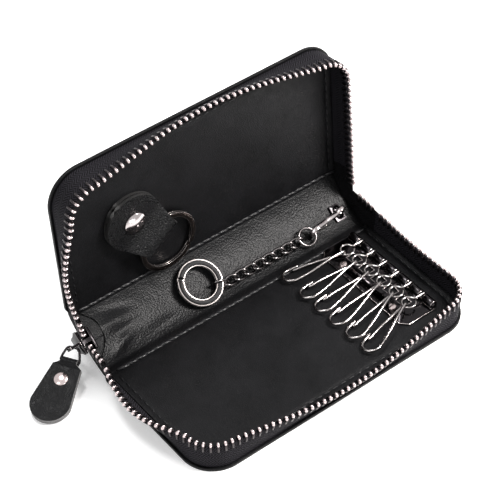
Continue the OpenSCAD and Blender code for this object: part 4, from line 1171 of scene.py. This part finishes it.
# %% [markdown]
# ## Table and light
# The case lies on a white table that runs out of sight. The table is plain white paint. For
# camera rays and mirrored rays alone a glow is added, weak round the case, where it would wash
# out the shadow. So it reads as pure white without more light on the leather.


# %% Table
def direct_rays(owner):
    rays = node(owner, "ShaderNodeLightPath").outputs
    return maths(owner, "MAXIMUM", rays["Is Camera Ray"], rays["Is Glossy Ray"])


bpy.ops.mesh.primitive_plane_add(size=8)
table = bpy.context.object
table.name = "table_top"
table_white, table_shader = new_finish("table_white", (0.9, 0.9, 0.9), 0.6)
from_case = node(table_white, "ShaderNodeVectorMath", {0: object_place(table_white)},
                 operation="LENGTH").outputs["Value"]
far = node(table_white, "ShaderNodeMapRange",
           {"Value": from_case, "From Min": 0.25, "From Max": 1.3, "To Min": 0.3, "To Max": 0.8},
           interpolation_type="SMOOTHSTEP").outputs["Result"]
seen = maths(table_white, "MULTIPLY", direct_rays(table_white), far)
glow = node(table_white, "ShaderNodeEmission", {"Color": (1, 1, 1, 1), "Strength": seen})
both = node(table_white, "ShaderNodeAddShader", {0: table_shader.outputs[0], 1: glow.outputs[0]})
link(table_white, both.outputs[0], table_white.node_tree.nodes["Material Output"], "Surface")
dress(table, table_white)
table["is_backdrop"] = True

# %% [markdown]
# Black leather is drawn by what it mirrors. A large panel on the left gives the broad sheen, and
# small ones stand where the satin, the strap and the teeth mirror them. The surroundings are dim,
# but white for whatever mirrors them.


# %% Lamps and surroundings
def panel_lamp(name, at, size, watts, colour=(1, 1, 1)):
    lamp = bpy.data.objects.new(name, bpy.data.lights.new(name, "AREA"))
    bpy.context.scene.collection.objects.link(lamp)
    lamp.data.shape, lamp.data.size, lamp.data.size_y = "RECTANGLE", size[0], size[1]
    lamp.data.energy, lamp.data.color = watts, colour
    lamp.location = at
    lamp.rotation_euler = (PIVOT - Vector(at)).to_track_quat("-Z", "Y").to_euler()


panel_lamp("top_panel", (-0.02, 0.38, 1.1), (0.32, 0.26), 7.0)
panel_lamp("left_panel", (-0.95, -0.1, 0.6), (0.5, 0.9), 4.0)
panel_lamp("front_right_panel", (0.26, -0.21, 0.39), (0.12, 0.18), 5.2, (1.0, 0.97, 0.95))
panel_lamp("low_front_panel", (-0.05, -0.9, 0.12), (0.5, 0.14), 1.6)

world = bpy.data.worlds.new("studio")
bpy.context.scene.world = world
world.use_nodes = True
sky = world.node_tree.nodes["Background"]
sky.inputs["Color"].default_value = (1, 1, 1, 1)
level = node(world, "ShaderNodeMapRange",
             {"Value": direct_rays(world), "To Min": 0.3, "To Max": 1.0})
link(world, level.outputs["Result"], sky, "Strength")
bpy.context.scene.view_settings.view_transform = "Standard"

# %% [markdown]
# ## Last look at the size
# The dressed case has to fill the same box as the drawn one. How much its box has grown on each
# axis is printed.

# %% Sizes, and done
seen_low, seen_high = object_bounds()
grown = [round(1000 * (a - b), 2) for a, b in zip(seen_high - seen_low, box_high - box_low)]
print("grown by mm", grown)
